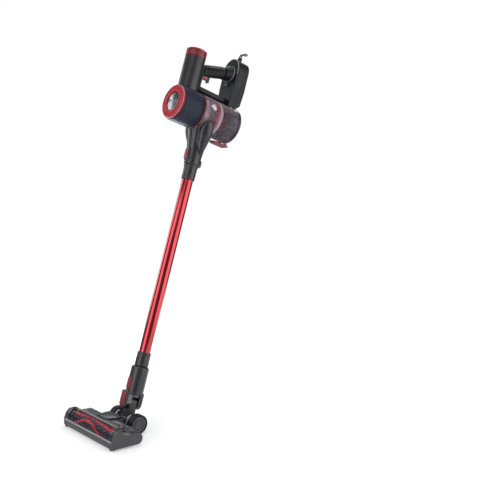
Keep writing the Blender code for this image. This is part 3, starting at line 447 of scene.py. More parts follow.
def fillet(profile, radius, closed=False, steps=3):
    """Rounds the corners of a polyline by radius, or less where its sides are short."""
    points = [Vector(p) for p in profile]
    count = len(points)
    made = []
    for i, corner in enumerate(points):
        before = points[i - 1] - corner
        after = points[(i + 1) % count] - corner
        reach = min(radius, 0.45 * before.length, 0.45 * after.length)
        at_end = not closed and i in (0, count - 1)
        if at_end or before.angle(after, 0.0) > radians(172) or reach < 1e-6:
            made.append(corner)
            continue
        start = corner + before.normalized() * reach
        end = corner + after.normalized() * reach
        for step in range(steps + 1):
            t = step / steps
            made.append(start * (1 - t) ** 2 + corner * 2 * t * (1 - t) + end * t ** 2)
    return made


def add_turned(bm, profile, steps=96, closed=False, edge=0.0, shape=None, matrix=None):
    """Adds a turned surface; shape(r, z, angle) may change its radius and height."""
    rings = []
    for r, z in fillet(profile, edge, closed) if edge else profile:
        ring = []
        for angle in [2 * pi * i / steps for i in range(steps)] if r > 1e-7 else [0.0]:
            reach, height = shape(r, z, angle) if shape else (r, z)
            ring.append(bm.verts.new((reach * cos(angle), reach * sin(angle), height)))
        rings.append(ring)
    skins(bm, rings + rings[:1] if closed else rings)
    if matrix is not None:
        bmesh.ops.transform(bm, matrix=matrix, verts=[vert for ring in rings for vert in ring])


def lathe(name, profile, material, body, slot, matrix, steps=96, closed=True, edge=0.0006, node=None, shape=None,
          sharp=40):
    bm = bmesh.new()
    add_turned(bm, profile, steps, closed, edge, shape)
    from_bmesh(bm, name, material, body, slot, matrix, sharp, node)


def block(bm, low, high, edge=0.0006, matrix=None):
    """Adds a bevelled block."""
    low, high = Vector(low), Vector(high)
    made = bmesh.ops.create_cube(bm, size=1.0)["verts"]
    bmesh.ops.scale(bm, vec=high - low, verts=made)
    bmesh.ops.translate(bm, vec=(high + low) / 2, verts=made)
    if edge:
        edges = list({e for v in made for e in v.link_edges})
        made = bmesh.ops.bevel(bm, geom=edges, offset=min(edge, 0.45 * min(high - low)), segments=3, profile=0.5,
                               affect="EDGES")["verts"]
    if matrix is not None:
        bmesh.ops.transform(bm, matrix=matrix, verts=list({v for v in made if v.is_valid}))


def row(low, high, step, count):
    """Corners of count blocks, each a step on from the one before."""
    return [(Vector(low) + Vector(step) * i, Vector(high) + Vector(step) * i) for i in range(count)]


def mirrored(pairs):
    """The blocks and their mirror images across X."""
    return pairs + [((-high[0], low[1], low[2]), (-low[0], high[1], high[2])) for low, high in pairs]


def blocks(name, pairs, material, body, slot, matrix, edge=0.0006):
    """One piece of several bevelled blocks, as (low, high) corners."""
    bm = bmesh.new()
    for low, high in pairs:
        block(bm, low, high, edge)
    from_bmesh(bm, name, material, body, slot, matrix)


def sweep_mesh(bm, points, radii, sides=16, up=Vector((0.0, 0.0, 1.0)), flat=1.0):
    """Adds a round bar through points, with a radius at each."""
    count = len(points)
    rings = []
    for i, point in enumerate(points):
        heading = (points[min(i + 1, count - 1)] - points[max(i - 1, 0)]).normalized()
        side = heading.cross(up).normalized()
        top = side.cross(heading)
        rings.append([bm.verts.new(point + (side * cos(a) + top * sin(a) * flat) * radii[i])
                      for a in (2 * pi * k / sides for k in range(sides))])
    skins(bm, rings)
    bm.faces.new(rings[0])
    bm.faces.new(rings[-1])


def bead(name, points, radius, tip, material, body, slot, matrix, sides, up=Vector((0.0, 0.0, 1.0))):
    """One or more thin bars, each thinner at its tips."""
    bm = bmesh.new()
    for line in points:
        sweep_mesh(bm, line, [tip] + [radius] * (len(line) - 2) + [tip], sides, up)
    from_bmesh(bm, name, material, body, slot, matrix)


def voxel_skin(obj, voxel, relax):
    """Fuses overlapping closed shapes into one moulded skin."""
    remesh = obj.modifiers.new("Remesh", "REMESH")
    remesh.mode = "VOXEL"
    remesh.voxel_size = voxel
    remesh.use_smooth_shade = True
    soft = obj.modifiers.new("Smooth", "SMOOTH")
    soft.factor = 0.5
    soft.iterations = relax


def baked(obj, cutters=()):
    """The object with its modifiers applied and the cutters taken out of it."""
    for number, cutter in enumerate(cutters):
        trim = obj.modifiers.new(f"Cut{number}", "BOOLEAN")
        trim.object = cutter
        trim.operation = "DIFFERENCE"
        trim.solver = "EXACT"
    bpy.context.view_layer.update()
    depsgraph = bpy.context.evaluated_depsgraph_get()
    mesh = bpy.data.meshes.new_from_object(obj.evaluated_get(depsgraph))
    obj.modifiers.clear()
    obj.data = mesh
    for cutter in cutters:
        bpy.data.objects.remove(cutter, do_unlink=True)
    smooth(mesh, 38)
    return obj


def cutter_from(bm, matrix=STICK):
    bmesh.ops.recalc_face_normals(bm, faces=bm.faces)
    return new_object(bm, "cutter", matrix)


def round_cutter(radius, low, high, matrix=STICK, steps=96):
    bm = bmesh.new()
    add_turned(bm, [(0.0, low), (radius, low), (radius, high), (0.0, high)], steps)
    return cutter_from(bm, matrix)


def moulded(node, name, material, body, slot, voxel, relax):
    """Replaces a CAD node with a copy whose edges are rounded the way moulded plastic is."""
    bm = bmesh.new()
    bm.from_mesh(NODES[node].data)
    obj = new_object(bm, name)
    voxel_skin(obj, voxel, relax)
    place(baked(obj), name, material, body, slot, node)


# ---------------------------------------------------------------- carried-over CAD nodes
CAD_LOOKS = {
    "charcoal": ["head_base", "pivot_yoke", "centre_cover"],
    "charcoal_matt": ["spine_frame", "handle", "handle_foot", "battery_case", "battery_cover"],
    "head_grey": ["head_deck", "side_cap_left", "side_cap_right"],
    "black": ["finger_hook", "cord_boot", "cup_lid"],
    "red_plastic": ["trigger"],
    "red_deep": ["neck_button", "neck_pedal", "duct_button", "cup_latch"],
    "rubber": ["drive_belt", "front_roller_left", "front_roller_right", "lid_seal"],
    "steel": ["brush_motor", "brush_pinion", "wheel_axle", "swivel_pin", "fan_motor", "impeller"],
    "filter_white": ["filter_element", "exhaust_filter"],
    "cell_blue": ["battery_cells"],
    "black_gloss": ["battery_button", "end_lock"],
}
# the angle, in degrees, above which an edge of a flat-sided node stays sharp, where it isn't 35
FACETED = {"head_deck": 4, "centre_cover": 12, "side_cap_left": 24, "side_cap_right": 24, "pivot_yoke": 24}
# bevel width on the nodes whose CAD edges are left sharp
CAD_EDGES = {
    "head_deck": 0.0005, "centre_cover": 0.0003, "head_base": 0.0004, "end_lock": 0.0004, "pivot_yoke": 0.0008,
    "spine_frame": 0.0006, "finger_hook": 0.0008,
}


def dress_cad():
    """Material, smooth shading and fine edges for the CAD nodes that stay."""
    for material, names in CAD_LOOKS.items():
        for name in names:
            mesh = NODES[name].data
            mesh.materials.clear()
            mesh.materials.append(MATERIALS[material])
            smooth(mesh, FACETED.get(name, 35))
    for name, width in CAD_EDGES.items():
        soften(NODES[name], width)


# ---------------------------------------------------------------- cord
CORD_R = 0.002
# half of the loop, from where it leaves the boot to its far bend; the other half mirrors it
LOOP_HALF = [(0.0042, 0.082, 1.159), (0.0044, 0.0822, 1.164), (0.0056, 0.0845, 1.1705), (0.0074, 0.089, 1.1757),
             (0.0084, 0.0945, 1.1782), (0.007, 0.1, 1.1786), (0.0032, 0.1034, 1.1781)]


def catmull(route, per_span):
    """Points on a smooth curve through the route."""
    places = [2 * route[0] - route[1]] + route + [2 * route[-1] - route[-2]]
    points = []
    for before, start, end, after in zip(places, places[1:], places[2:], places[3:]):
        for step in range(per_span):
            t = step / per_span
            points.append(0.5 * (2 * start + (end - before) * t
                                 + (2 * before - 5 * start + 4 * end - after) * t ** 2
                                 + (3 * start - before - 3 * end + after) * t ** 3))
    points.append(route[-1])
    return points


def hanging_loop():
    """Stiff hanging loop: out of the boot, up and back, and down into the boot again."""
    route = [Vector(p) for p in LOOP_HALF] + [Vector((-x, y, z)) for x, y, z in reversed(LOOP_HALF)]
    points = catmull(route, 6)
    curve = bpy.data.curves.new("loop_cord", "CURVE")
    curve.dimensions = "3D"
    curve.bevel_depth = CORD_R
    curve.bevel_resolution = 4
    curve.use_fill_caps = True
    spline = curve.splines.new("POLY")
    spline.points.add(len(points) - 1)
    for point, spot in zip(spline.points, points):
        point.co = (*(STICK @ spot), 1.0)
    spline.use_smooth = True
    cord = in_scene("loop_cord", curve)
    place(cord, "loop_cord", "black", "battery", "black", "hang_loop")


def boot_details():
    bm = bmesh.new()
    grommet = [(0.0022, 1.1586), (0.0034, 1.1586), (0.003, 1.1606), (0.0022, 1.1606)]
    for x in (-0.0043, 0.0043):
        add_turned(bm, grommet, 24, True, 0.0003, matrix=at(x, 0.082, 0.0))
    for low, high in row((-0.0079, 0.0778, 1.151), (0.0079, 0.0862, 1.1521), (0.0, 0.0, 0.0022), 3):
        block(bm, low, high, 0.0003)
    from_bmesh(bm, "boot_ribs", "rubber", "battery", "black", STICK)


# ---------------------------------------------------------------- floor head
LENS_R = 0.0283
LENS_HALF = 0.1255


def arc_band(bm, outer, inner, start, end, x_low, x_high, count=40):
    """Adds a curved band round the roller's axis, in degrees from +Y towards +Z."""
    middle = (ROLLER_Y, ROLLER_Z)
    ribbon(bm, arc(middle, outer, start, end, count) + arc(middle, inner, end, start, count), x_low, x_high)


def window():
    bm = bmesh.new()
    arc_band(bm, LENS_R, 0.0268, 186, 84, -LENS_HALF, LENS_HALF, 56)
    from_bmesh(bm, "window_lens", "clear_window", "head", "clear_smoke", HEAD, node="brush_window")
    # Light grey trims along the window's top and front edges: partly trim, partly a painted highlight
    bm = bmesh.new()
    arc_band(bm, 0.0292, LENS_R, 94, 88, -0.112, 0.112, 6)
    arc_band(bm, 0.029, LENS_R, 186, 180, -0.1256, 0.1256, 6)
    from_bmesh(bm, "window_trim_and_highlight", "trim_and_highlight_grey", "head", "head_grey", HEAD)
    frames, corners = bmesh.new(), bmesh.new()
    for side in (-1, 1):
        arc_band(frames, 0.0294, LENS_R, 190, 84, *sorted((side * 0.1196, side * 0.1258)))
        arc_band(frames, 0.0267, 0.018, 200, 84, *sorted((side * 0.124, side * 0.1258)), 30)
        arc_band(corners, 0.0292, LENS_R, 102, 84, *sorted((side * 0.1, side * 0.1257)), 12)
    from_bmesh(frames, "window_frames", "black", "head", "charcoal", HEAD)
    from_bmesh(corners, "window_corners", "head_grey", "head", "head_grey", HEAD)


ROW_MIDDLE = 0.0035
ROW_HALF = 0.1165
ROW_APEX = -0.024
ROW_LEVEL = 1 / 6
# each row's turn round the roller at its apex and its fall to its ends, in degrees
ROWS = [(135, 150), (88, 35), (315, 150), (268, 35)]
TUFTS = 70
TUFT_FOOT_R = 0.016
TUFT_TIP_R = 0.0208


def row_point(turn, fall, share, radius):
    """Point on a bristle row: level near its apex, then falling away; share runs from -1 to 1."""
    x = ROW_MIDDLE + share * ROW_HALF
    angle = radians(turn + fall * max(0.0, abs(x - ROW_APEX) / ROW_HALF - ROW_LEVEL))
    return Vector((x, radius * cos(angle), radius * sin(angle)))


def row_strip(bm, turn, fall, reach, radius, steps=96):
    """Backing strip of a row, reach degrees to each side."""
    edges = []
    for swing in (-reach, -reach * 0.4, reach * 0.4, reach):
        lift = 0.0004 if abs(swing) < reach else 0.0
        edges.append([bm.verts.new(row_point(turn + swing, fall, 2.0 * i / steps - 1.0, radius + lift))
                      for i in range(steps + 1)])
    bmesh.ops.solidify(bm, geom=skins(bm, edges, False), thickness=0.0014)


def tuft(bm, foot, tip, width=0.0011):
    """Tapered tuft of four sides."""
    heading = (tip - foot).normalized()
    side = heading.cross(Vector((1.0, 0.0, 0.0))).normalized()
    other = heading.cross(side)
    around = [side * width, other * width, -side * width, -other * width]
    prism(bm, [foot + reach for reach in around], [tip + reach * 0.6 for reach in around])


def brush():
    spindle = HEAD @ at(0.0, ROLLER_Y, ROLLER_Z)
    core = [(0.0, 0.13), (0.0031, 0.13), (0.0031, 0.1237), (0.0162, 0.1237), (0.0166, 0.12), (0.0166, -0.112),
            (0.0162, -0.1155), (0.01, -0.116), (0.01, -0.1235), (0.0031, -0.1235), (0.0031, -0.13), (0.0, -0.13)]
    lathe("roller_core", core, "pile_black", "brush", "black", spindle @ turned("Y", 90), 72, False,
          node="brush_roller")
    tufts, strips, pile = bmesh.new(), bmesh.new(), bmesh.new()
    draw = random.Random(5).uniform
    for turn, fall in ROWS:
        for i in range(-TUFTS, TUFTS + 1):
            for offset in (-8.0, -4.0, 0.0, 4.0, 8.0):
                share = max(-1.0, min(1.0, (i + draw(-0.3, 0.3)) / TUFTS))
                swing = turn + offset + draw(-1.5, 1.5)
                foot = row_point(swing, fall, share, TUFT_FOOT_R)
                tip = row_point(swing + draw(-4, 4), fall, share, TUFT_TIP_R + draw(-0.0006, 0.0002))
                tuft(tufts, foot, tip)
        row_strip(strips, turn, fall, 11.0, 0.0182)
    for turn, fall in ROWS[::2]:
        for offset in (-48.0, -30.0, 32.0):
            row_strip(pile, turn + offset, fall, 3.5, 0.0176)
    from_bmesh(tufts, "bristle_tufts", "bristle_red", "brush", "red_plastic", spindle, node="bristle_rows")
    from_bmesh(strips, "bristle_strips", "bristle_red", "brush", "red_plastic", spindle)
    from_bmesh(pile, "pile_rows", "pile_grey", "brush", "black", spindle)


BUMPER_HALF = 0.136
FACE_HALF = 0.1236
# (y, z) outlines: the face's upper part, how it goes on in the middle and at its ends, and the lip
FACE_TOP = [(-0.1308, 0.0208), (-0.1336, 0.0208), (-0.1338, 0.0204), (-0.1338, 0.0158), (-0.1334, 0.0154),
            (-0.1334, 0.0148), (-0.1338, 0.0144)]
FACE_FOOT = [(-0.1338, 0.007), (-0.1325, 0.0046), (-0.1308, 0.0044)]
FACE_END = [(-0.1338, 0.0128), (-0.1308, 0.0128)]
LIP = [(-0.13, 0.0262), (-0.1328, 0.0262), (-0.1337, 0.0254), (-0.1338, 0.0218), (-0.1334, 0.0212), (-0.13, 0.0212)]


def bumper():
    """Front strip: a light lip over a grey face whose ends are cut back above the corner feet."""
    face, lip = bmesh.new(), bmesh.new()
    ribbon(face, FACE_TOP + FACE_FOOT, -FACE_HALF, FACE_HALF)
    ribbon(face, FACE_TOP + FACE_END, -BUMPER_HALF, -FACE_HALF)
    ribbon(face, FACE_TOP + FACE_END, FACE_HALF, BUMPER_HALF)
    ribbon(lip, LIP, -BUMPER_HALF, BUMPER_HALF)
    soften(from_bmesh(face, "bumper_face", "face_grey", "head", "head_grey", HEAD, node="front_bumper"), 0.0003)
    soften(from_bmesh(lip, "bumper_lip", "lip_and_highlight_grey", "head", "head_grey", HEAD), 0.0003)
    feet = mirrored([((0.1244, -0.1337, 0.0012), (0.1354, -0.129, 0.012))])
    blocks("corner_feet", feet, "black", "head", "charcoal", HEAD, 0.0018)


CAP_LINE = [(-0.101, 0.0461), (-0.092, 0.0412), (-0.076, 0.0376), (-0.064, 0.0364), (-0.0535, 0.0365)]


def cap_lines():
    """Painted highlight: a light line along the upper edge of each side cap."""
    for side, word in ((-1, "left"), (1, "right")):
        line = [Vector((side * 0.1407, y, z - 0.0006)) for y, z in CAP_LINE]
        bead(f"cap_line_{word}", [line], 0.0007, 0.0004, "trim_and_highlight_grey", "head", "head_grey", HEAD, 10)


def cover_slit_shade():
    """Painted shade: a black strip standing in the slit across the deck round the centre cover's front."""
    line = [Vector(p) for p in ((-0.0352, -0.063, 0.0478), (-0.0272, -0.0856, 0.0512), (0.0, -0.0925, 0.0524),
                                (0.0272, -0.0856, 0.0512), (0.0352, -0.063, 0.0478))]
    half = 0.0013
    bm = bmesh.new()
    for start, end in zip(line, line[1:]):
        run = end - start
        reach = run.length / 2 + half * 0.8
        turn = Matrix.Translation((start + end) / 2) @ run.to_track_quat("X", "Z").to_matrix().to_4x4()
        block(bm, (-reach, -half, -0.002), (reach, half, 0.0003), 0.0003, turn)
    from_bmesh(bm, "cover_slit_shade", "black", "head", "charcoal", HEAD)


def end_lock():
    bezel = [(0.008, 0.05), (0.008, 0.0516), (0.0098, 0.0516), (0.0106, 0.05)]
    lathe("lock_bezel", bezel, "black", "head", "charcoal", LOCK, 64, edge=0.0003)
    bm = bmesh.new()
    for start, end in ((20, 160), (200, 340)):
        outline = arc((0.0, 0.0), 0.0128, start, end, 20) + arc((0.0, 0.0), 0.0138, end, start, 20)
        prism(bm, [(x, y, 0.0492) for x, y in outline], [(x, y, 0.0505) for x, y in outline])
    from_bmesh(bm, "lock_panel_line", "trim_and_highlight_grey", "head", "head_grey", LOCK)
    marks = row((-0.0042, -0.0046, 0.051), (0.0042, -0.0032, 0.0514), (0.0, 0.0076, 0.0), 2)
    blocks("lock_marks", marks, "red_deep", "lock", "red_plastic", LOCK, 0.0002)


def axle_shrouds():
    """Short ribbed cover over the front of the axle, just inside each wheel; its light grey is partly a painted
    highlight.
    """
    bm = bmesh.new()
    middle = (0.0, AXLE_Z)
    for side in (-1, 1):
        for number in range(3):
            low, high = sorted((side * (0.0302 + 0.0031 * number), side * (0.0326 + 0.0031 * number)))
            reach = 0.0262 - 0.001 * number
            ribbon(bm, arc(middle, reach, 108, 178, 14) + arc(middle, reach - 0.0052, 178, 108, 14), low, high)
    soften(from_bmesh(bm, "axle_shrouds", "trim_and_highlight_grey", "head", "head_grey", HEAD), 0.0004)


WHEEL_HALF = 0.012
# radius, and how far in from the wheel's outer side
HUB_FACE = [(0.0, 0.001), (0.0058, 0.001), (0.0062, 0.0016), (0.007, 0.0016), (0.0074, 0.0008), (0.0168, 0.0004),
            (0.0174, 0.0012), (0.0182, 0.0012), (0.0188, 0.0004), (0.0218, 0.001), (0.0221, 0.004),
            (0.0221, 0.0064), (0.0, 0.0064)]
HUB_LINE = [(0.0128, 0.0008), (0.0152, 0.0006), (0.0152, -0.0001), (0.0128, -0.0001)]


def wheels():
    half = WHEEL_HALF
    tread = [(0.0043, -half), (WHEEL_R - 0.0018, -half), (WHEEL_R, -half + 0.0022)]
    for number in range(5):
        z = -0.0076 + number * 0.0036
        tread += [(WHEEL_R, z), (WHEEL_R - 0.0006, z + 0.0003), (WHEEL_R - 0.0006, z + 0.0009), (WHEEL_R, z + 0.0012)]
    tread += [(WHEEL_R, half - 0.0022), (WHEEL_R - 0.0018, half), (0.0232, half), (0.0226, half - 0.0068),
              (0.0043, half - 0.0068)]
    face, line = ([(r, half - depth) for r, depth in outline] for outline in (HUB_FACE, HUB_LINE))
    for side, word in ((-1, "left"), (1, "right")):
        matrix = HEAD @ at(side * 0.0525, 0.0, AXLE_Z) @ turned("Y", 90) @ turned("X", 90 - 90 * side)
        body = f"wheel_{word[0]}"
        lathe(f"tyre_{word}", tread, "rubber", body, "rubber", matrix, edge=0.0005, node=f"wheel_{word}")
        lathe(f"hub_disc_{word}", face, "head_grey", body, "charcoal", matrix, closed=False, edge=0.0004,
              node=f"wheel_hub_{word}")
        lathe(f"hub_line_{word}", line, "black", body, "charcoal", matrix, edge=0.0003)


# ---------------------------------------------------------------- neck and wand
# red finger ridges: body, corners of the first ridge, step to the next, count and edge
GRIPS = {
    "button_grips": ("neck_release", (-0.0062, -0.0297, 0.101), (0.0062, -0.0288, 0.1022), (0, 0, 0.003), 4, 0.0003),
    "pedal_grips": ("pedal", (-0.009, -0.0366, 0.046), (0.009, -0.0358, 0.0474), (0, 0, 0.004), 4, 0.0004),
    "duct_button_grips": ("wand_release", (-0.006, -0.0305, 0.803), (0.006, -0.0296, 0.8042), (0, 0, 0.003), 4,
                          0.0003),
    "trigger_grips": ("trigger", (-0.0048, -0.04, 1.0419), (0.0048, -0.039, 1.0428), (0, 0.003, 0), 5, 0.0003),
    "latch_grips": ("latch", (-0.012, 0.088, 0.8702), (0.012, 0.0892, 0.8709), (0, 0.003, 0), 5, 0.0003),
}


def grips():
    for name, (body, low, high, step, count, edge) in GRIPS.items():
        blocks(name, row(low, high, step, count), "red_deep", body, "red_plastic", STICK, edge)


def neck_pieces():
    moulded("neck_sleeve", "neck_shell", "charcoal_gloss", "neck", "charcoal", 0.00085, 5)
    moulded("pitch_hub", "hub_shell", "charcoal", "hub", "charcoal", 0.0008, 5)
    ribs = [(0.0128, 0.0768)]
    for number in range(4):
        top = 0.0762 - number * 0.0022
        ribs += [(0.015, top), (0.0163, top - 0.0006), (0.0163, top - 0.0012), (0.015, top - 0.0018)]
    ribs.append((0.0128, 0.0674))
    lathe("neck_hose", ribs, "rubber_grey", "neck", "rubber", STICK, 72, edge=0.0003, node="neck_bellows")
    pleats = mirrored(row((0.0188, -0.0302, 0.05), (0.0204, -0.016, 0.0517), (0.0, 0.0, 0.0042), 6))
    blocks("cheek_pleats", pleats, "trim_and_highlight_grey", "neck", "charcoal", STICK)


GROOVE_R = COLLAR_R - 0.0004
COLLAR_LOW = [(0.0176, 0.2), (0.0192, 0.2), (COLLAR_R, 0.1975), (COLLAR_R, 0.1905), (GROOVE_R, 0.19),
              (GROOVE_R, 0.189), (COLLAR_R, 0.1885), (COLLAR_R, 0.16), (0.0193, 0.1573), (0.017, 0.157),
              (0.017, 0.135), (0.015, 0.135), (0.015, 0.1797), (0.0176, 0.1797)]
COLLAR_HIGH = [(0.0187, 0.792), (0.0187, 0.7787), (0.0222, 0.7787), (0.0222, 0.773), (COLLAR_R, 0.771),
               (COLLAR_R, 0.742), (GROOVE_R, 0.7415), (GROOVE_R, 0.7405), (COLLAR_R, 0.74), (COLLAR_R, 0.7345),
               (0.019, 0.732), (0.0176, 0.732), (0.0176, 0.7523), (0.015, 0.7523), (0.015, 0.792)]
TUBE = [(TUBE_R, 0.752), (TUBE_R, 0.18), (TUBE_R - 0.0012, 0.18), (TUBE_R - 0.0012, 0.752)]


def wand_pieces():
    lathe("anodised_tube", TUBE, "red_anodised", "wand", "red_anodised", STICK, 128, edge=0.0003, node="wand_tube")
    for name, profile, node in (("collar_low", COLLAR_LOW, "lower_collar"),
                                ("collar_high", COLLAR_HIGH, "upper_collar")):
        lathe(name, profile, "charcoal_gloss", "wand", "charcoal", STICK, edge=0.0005, node=node)


# ---------------------------------------------------------------- dust bin
ON_BIN_CLEAR = ("hand_unit", "clear_smoke", BIN, 128)
ON_BIN_RED = ("hand_unit", "red_plastic", BIN, 128)
SHELL = [(0.0511, 0.1185), (0.0535, 0.1178), (0.0552, 0.115), (BIN_R, 0.109), (BIN_R, 0.0378), (BIN_INNER, 0.0378),
         (BIN_INNER, 0.106), (0.0526, 0.1115), (0.0511, 0.113)]
SHOULDER = [(0.0512, 0.1182), (0.0522, 0.1179), (0.0522, 0.1171), (0.0512, 0.1174)]
CUP = [(BIN_R, 0.033), (BIN_R, -0.0985), (BIN_INNER, -0.0985), (BIN_INNER, 0.033)]
TINT = [(BIN_INNER - 0.0004, -0.064), (BIN_INNER - 0.0004, -0.0975), (BIN_INNER - 0.0014, -0.0975),
        (BIN_INNER - 0.0014, -0.064)]
STEP = [(BIN_INNER - GAP, -0.0275), (BIN_INNER - GAP, -0.0345), (0.05, -0.0345), (0.0478, -0.031),
        (0.0478, -0.0275)]
# ring at the step's edge, white as a painted glint
STEP_EDGE_GLINT = [(0.0534, -0.0252), (0.0534, -0.0272), (0.05, -0.0272), (0.05, -0.0252)]
SHROUD_RING = [(0.0524, -0.015), (0.0528, -0.0248), (0.047, -0.0248), (0.044, -0.015)]
SEAL = [(BIN_R, 0.0366), (BIN_R, 0.0341), (0.055, 0.0335), (0.046, 0.0335), (0.046, 0.0372), (0.055, 0.0372)]


def bin_pieces():
    lathe("shell_clear", SHELL, "clear_shell", *ON_BIN_CLEAR, edge=0.0016, node="upper_shell")
    # white ring at the shell's shoulder: painted highlight
    lathe("shell_shoulder_highlight", SHOULDER, "white_and_glint", *ON_BIN_CLEAR, edge=0.0002)
    cup()
    lathe("cup_tint", TINT, "clear_tint", *ON_BIN_CLEAR, edge=0.0003)
    # the step ring: a milky band and a white edge ring, partly a painted glint
    lathe("step_band", STEP, "clear_ring_and_glint", *ON_BIN_CLEAR, edge=0.0008, node="step_ring")
    lathe("step_edge_glint", STEP_EDGE_GLINT, "white_and_glint", *ON_BIN_CLEAR)
    lathe("shroud_ring", SHROUD_RING, "red_plastic", *ON_BIN_RED, edge=0.0008)
    lathe("seal_band", SEAL, "red_deep", *ON_BIN_RED, edge=0.0008, node="seal_ring")


def cup():
    """The clear cup with its hinge lugs, latch walls and two inner ribs."""
    bm = bmesh.new()
    add_turned(bm, CUP, 128, True, 0.0004)
    back = BIN.inverted() @ STICK
    for low, high in mirrored([((0.0108, 0.086, 0.993), (0.015, 0.1062, 1.0035))]):
        block(bm, low, high, 0.0012, back)
    for low, high in mirrored([((0.0156, 0.05, 0.8745), (0.0174, 0.0975, 0.888))]):
        block(bm, low, high, 0.0006, back)
    for angle in (-58, 58):
        block(bm, (-0.0016, BIN_INNER - 0.003, -0.096), (0.0016, BIN_INNER + 0.0002, 0.03), 0.0006,
              turned("Z", angle))
    from_bmesh(bm, "cup_clear", "clear_cup", "hand_unit", "clear_smoke", BIN, node="dust_cup")


FINS = 36
FIN_SLOPE = atan2(0.028, 0.089)
SCREEN = [(0.044, 0.033), (0.044, 0.029), (0.029, -0.019), (0.0268, -0.019), (0.0415, 0.028), (0.0415, 0.033)]
CONE = [(0.0287, -0.0195), (0.016, -0.06), (0.016, -0.075), (0.014, -0.075), (0.014, -0.06), (0.0266, -0.0195)]
SKIRT = [(0.0165, -0.066), (0.0225, -0.0735), (0.0232, -0.0725), (0.0165, -0.063)]


def cyclone():
    lathe("shroud_screen", SCREEN, "steel", "hand_unit", "steel", BIN, edge=0.0008)
    lathe("cone_skin", CONE, "red_plastic", "hand_unit", "red_plastic", BIN, edge=0.0008, node="cyclone_cone")
    bm = bmesh.new()
    for number in range(FINS):
        fin = turned("Z", 360 * number / FINS) @ at(0.03, 0.0, -0.0155) @ Matrix.Rotation(FIN_SLOPE, 4, "Y")
        block(bm, (-0.001, -0.0008, -0.042), (0.0026, 0.0008, 0.042), 0.0004, fin)
    from_bmesh(bm, "cone_fins", "steel", "hand_unit", "steel", BIN)
    lathe("cone_skirt", SKIRT, "red_deep", "hand_unit", "red_plastic", BIN, edge=0.0004)


PLEATS = 54
CAN = [(0.0, 0.1095), (0.044, 0.1095), (0.047, 0.1092), (0.0493, 0.108), (0.0493, 0.042), (0.047, 0.04),
       (0.047, 0.106), (0.0, 0.1065)]


def pleated(r, z, angle):
    if r < 0.048:
        return r, z
    phase = (angle * PLEATS / (2 * pi)) % 1.0
    return r - 0.0007 * abs(2.0 * phase - 1.0), z


def filter_can():
    lathe("filter_can", CAN, "navy", "hand_unit", "charcoal", BIN, PLEATS * 6, False, node="filter_housing",
          shape=pleated, sharp=50)
    for name, low, high in (("filter_band_low", 0.0378, 0.0425), ("filter_band_high", 0.101, 0.106)):
        band = [(0.047, low), (0.0509, low), (0.0509, high), (0.047, high)]
        lathe(name, band, "navy", "hand_unit", "charcoal", BIN)


CAP_SLOTS = 30
SLOT_CELLS = 12
CAP_STEPS = CAP_SLOTS * SLOT_CELLS
CAP_RING = [(0.0302, BIN_FRONT - 0.003), (0.0306, BIN_FRONT - 0.0012), (0.0318, BIN_FRONT), (0.0348, BIN_FRONT),
            (0.0352, BIN_FRONT), (0.047, BIN_FRONT), (0.0474, BIN_FRONT), (0.0494, BIN_FRONT),
            (0.0503, BIN_FRONT - 0.0006), (0.0507, BIN_FRONT - 0.0018), (0.0507, 0.11), (0.0302, 0.11)]
# Black ring under the cap's slots: painted shade in their recesses
SLOT_SHADE = [(0.0353, BIN_FRONT - 0.0024), (0.0353, BIN_FRONT - 0.003), (0.0469, BIN_FRONT - 0.003),
              (0.0469, BIN_FRONT - 0.0024)]
DISC = [(0.0, 0.1206), (0.004, 0.1205), (0.028, 0.1187), (0.0292, 0.118), (0.0298, 0.1168), (0.0298, 0.11),
        (0.0, 0.11)]


def slotted(r, z, angle):
    """Sinks the middle cells of each slot between its inner and outer ends."""
    cell = round(angle * CAP_STEPS / (2 * pi)) % SLOT_CELLS
    return r, z - (0.0026 if 0.035 < r < 0.0472 and 3 <= cell <= 7 else 0.0)


def top_cap():
    lathe("cap_ring", CAP_RING, "red_bright", "filter_cap", "red_plastic", BIN, CAP_STEPS, edge=0.0,
          node="top_ring", shape=slotted, sharp=30)
    lathe("cap_slot_shade", SLOT_SHADE, "black", "filter_cap", "black", BIN, 128, edge=0.0)
    lathe("cap_disc", DISC, "disc_steel", "filter_cap", "steel", BIN, 160, False, 0.0004, "top_disc")


def lid_details():
    rings = [(0.044, -0.1058), (0.044, -0.1064), (0.0452, -0.1064), (0.0452, -0.1058)]
    lathe("lid_rings", rings, "black", "lid", "black", BIN, edge=0.0002)
    bm = bmesh.new()
    for number in range(8):
        block(bm, (0.014, -0.001, -0.1066), (0.043, 0.001, -0.1056), 0.0003, turned("Z", 45 * number))
    from_bmesh(bm, "lid_ribs", "black", "lid", "black", BIN)


# ---------------------------------------------------------------- duct
DUCT_BODY = [(0.0, 0.902), (0.0385, 0.902), (0.0388, 0.884), (0.0326, 0.86), (0.027, 0.83), (0.0248, 0.805),
             (0.0245, 0.79), (0.0245, 0.779), (0.0, 0.779)]
# middle line, as (x, v, w), and radius along it, of a flank's lobe and of the hollow in front of it
LOBE = [(0.0525, 0.0075, 0.9155), (0.0507, 0.0072, 0.911), (0.047, 0.0068, 0.901), (0.043, 0.0055, 0.889),
        (0.0385, 0.004, 0.875), (0.033, 0.0015, 0.858), (0.028, -0.001, 0.839), (0.024, -0.0035, 0.821),
        (0.0218, -0.005, 0.806)]
LOBE_R = [0.007, 0.0125, 0.0172, 0.0196, 0.02, 0.0176, 0.0138, 0.0092, 0.0045]
HOLLOW = [(0.038, 0.04, 0.93), (0.0345, 0.033, 0.905), (0.0312, 0.028, 0.88), (0.0276, 0.0236, 0.86),
          (0.0236, 0.02, 0.835), (0.0212, 0.0172, 0.81), (0.0208, 0.0166, 0.798)]
HOLLOW_R = [0.008, 0.0074, 0.0062, 0.005, 0.0036, 0.0022, 0.001]
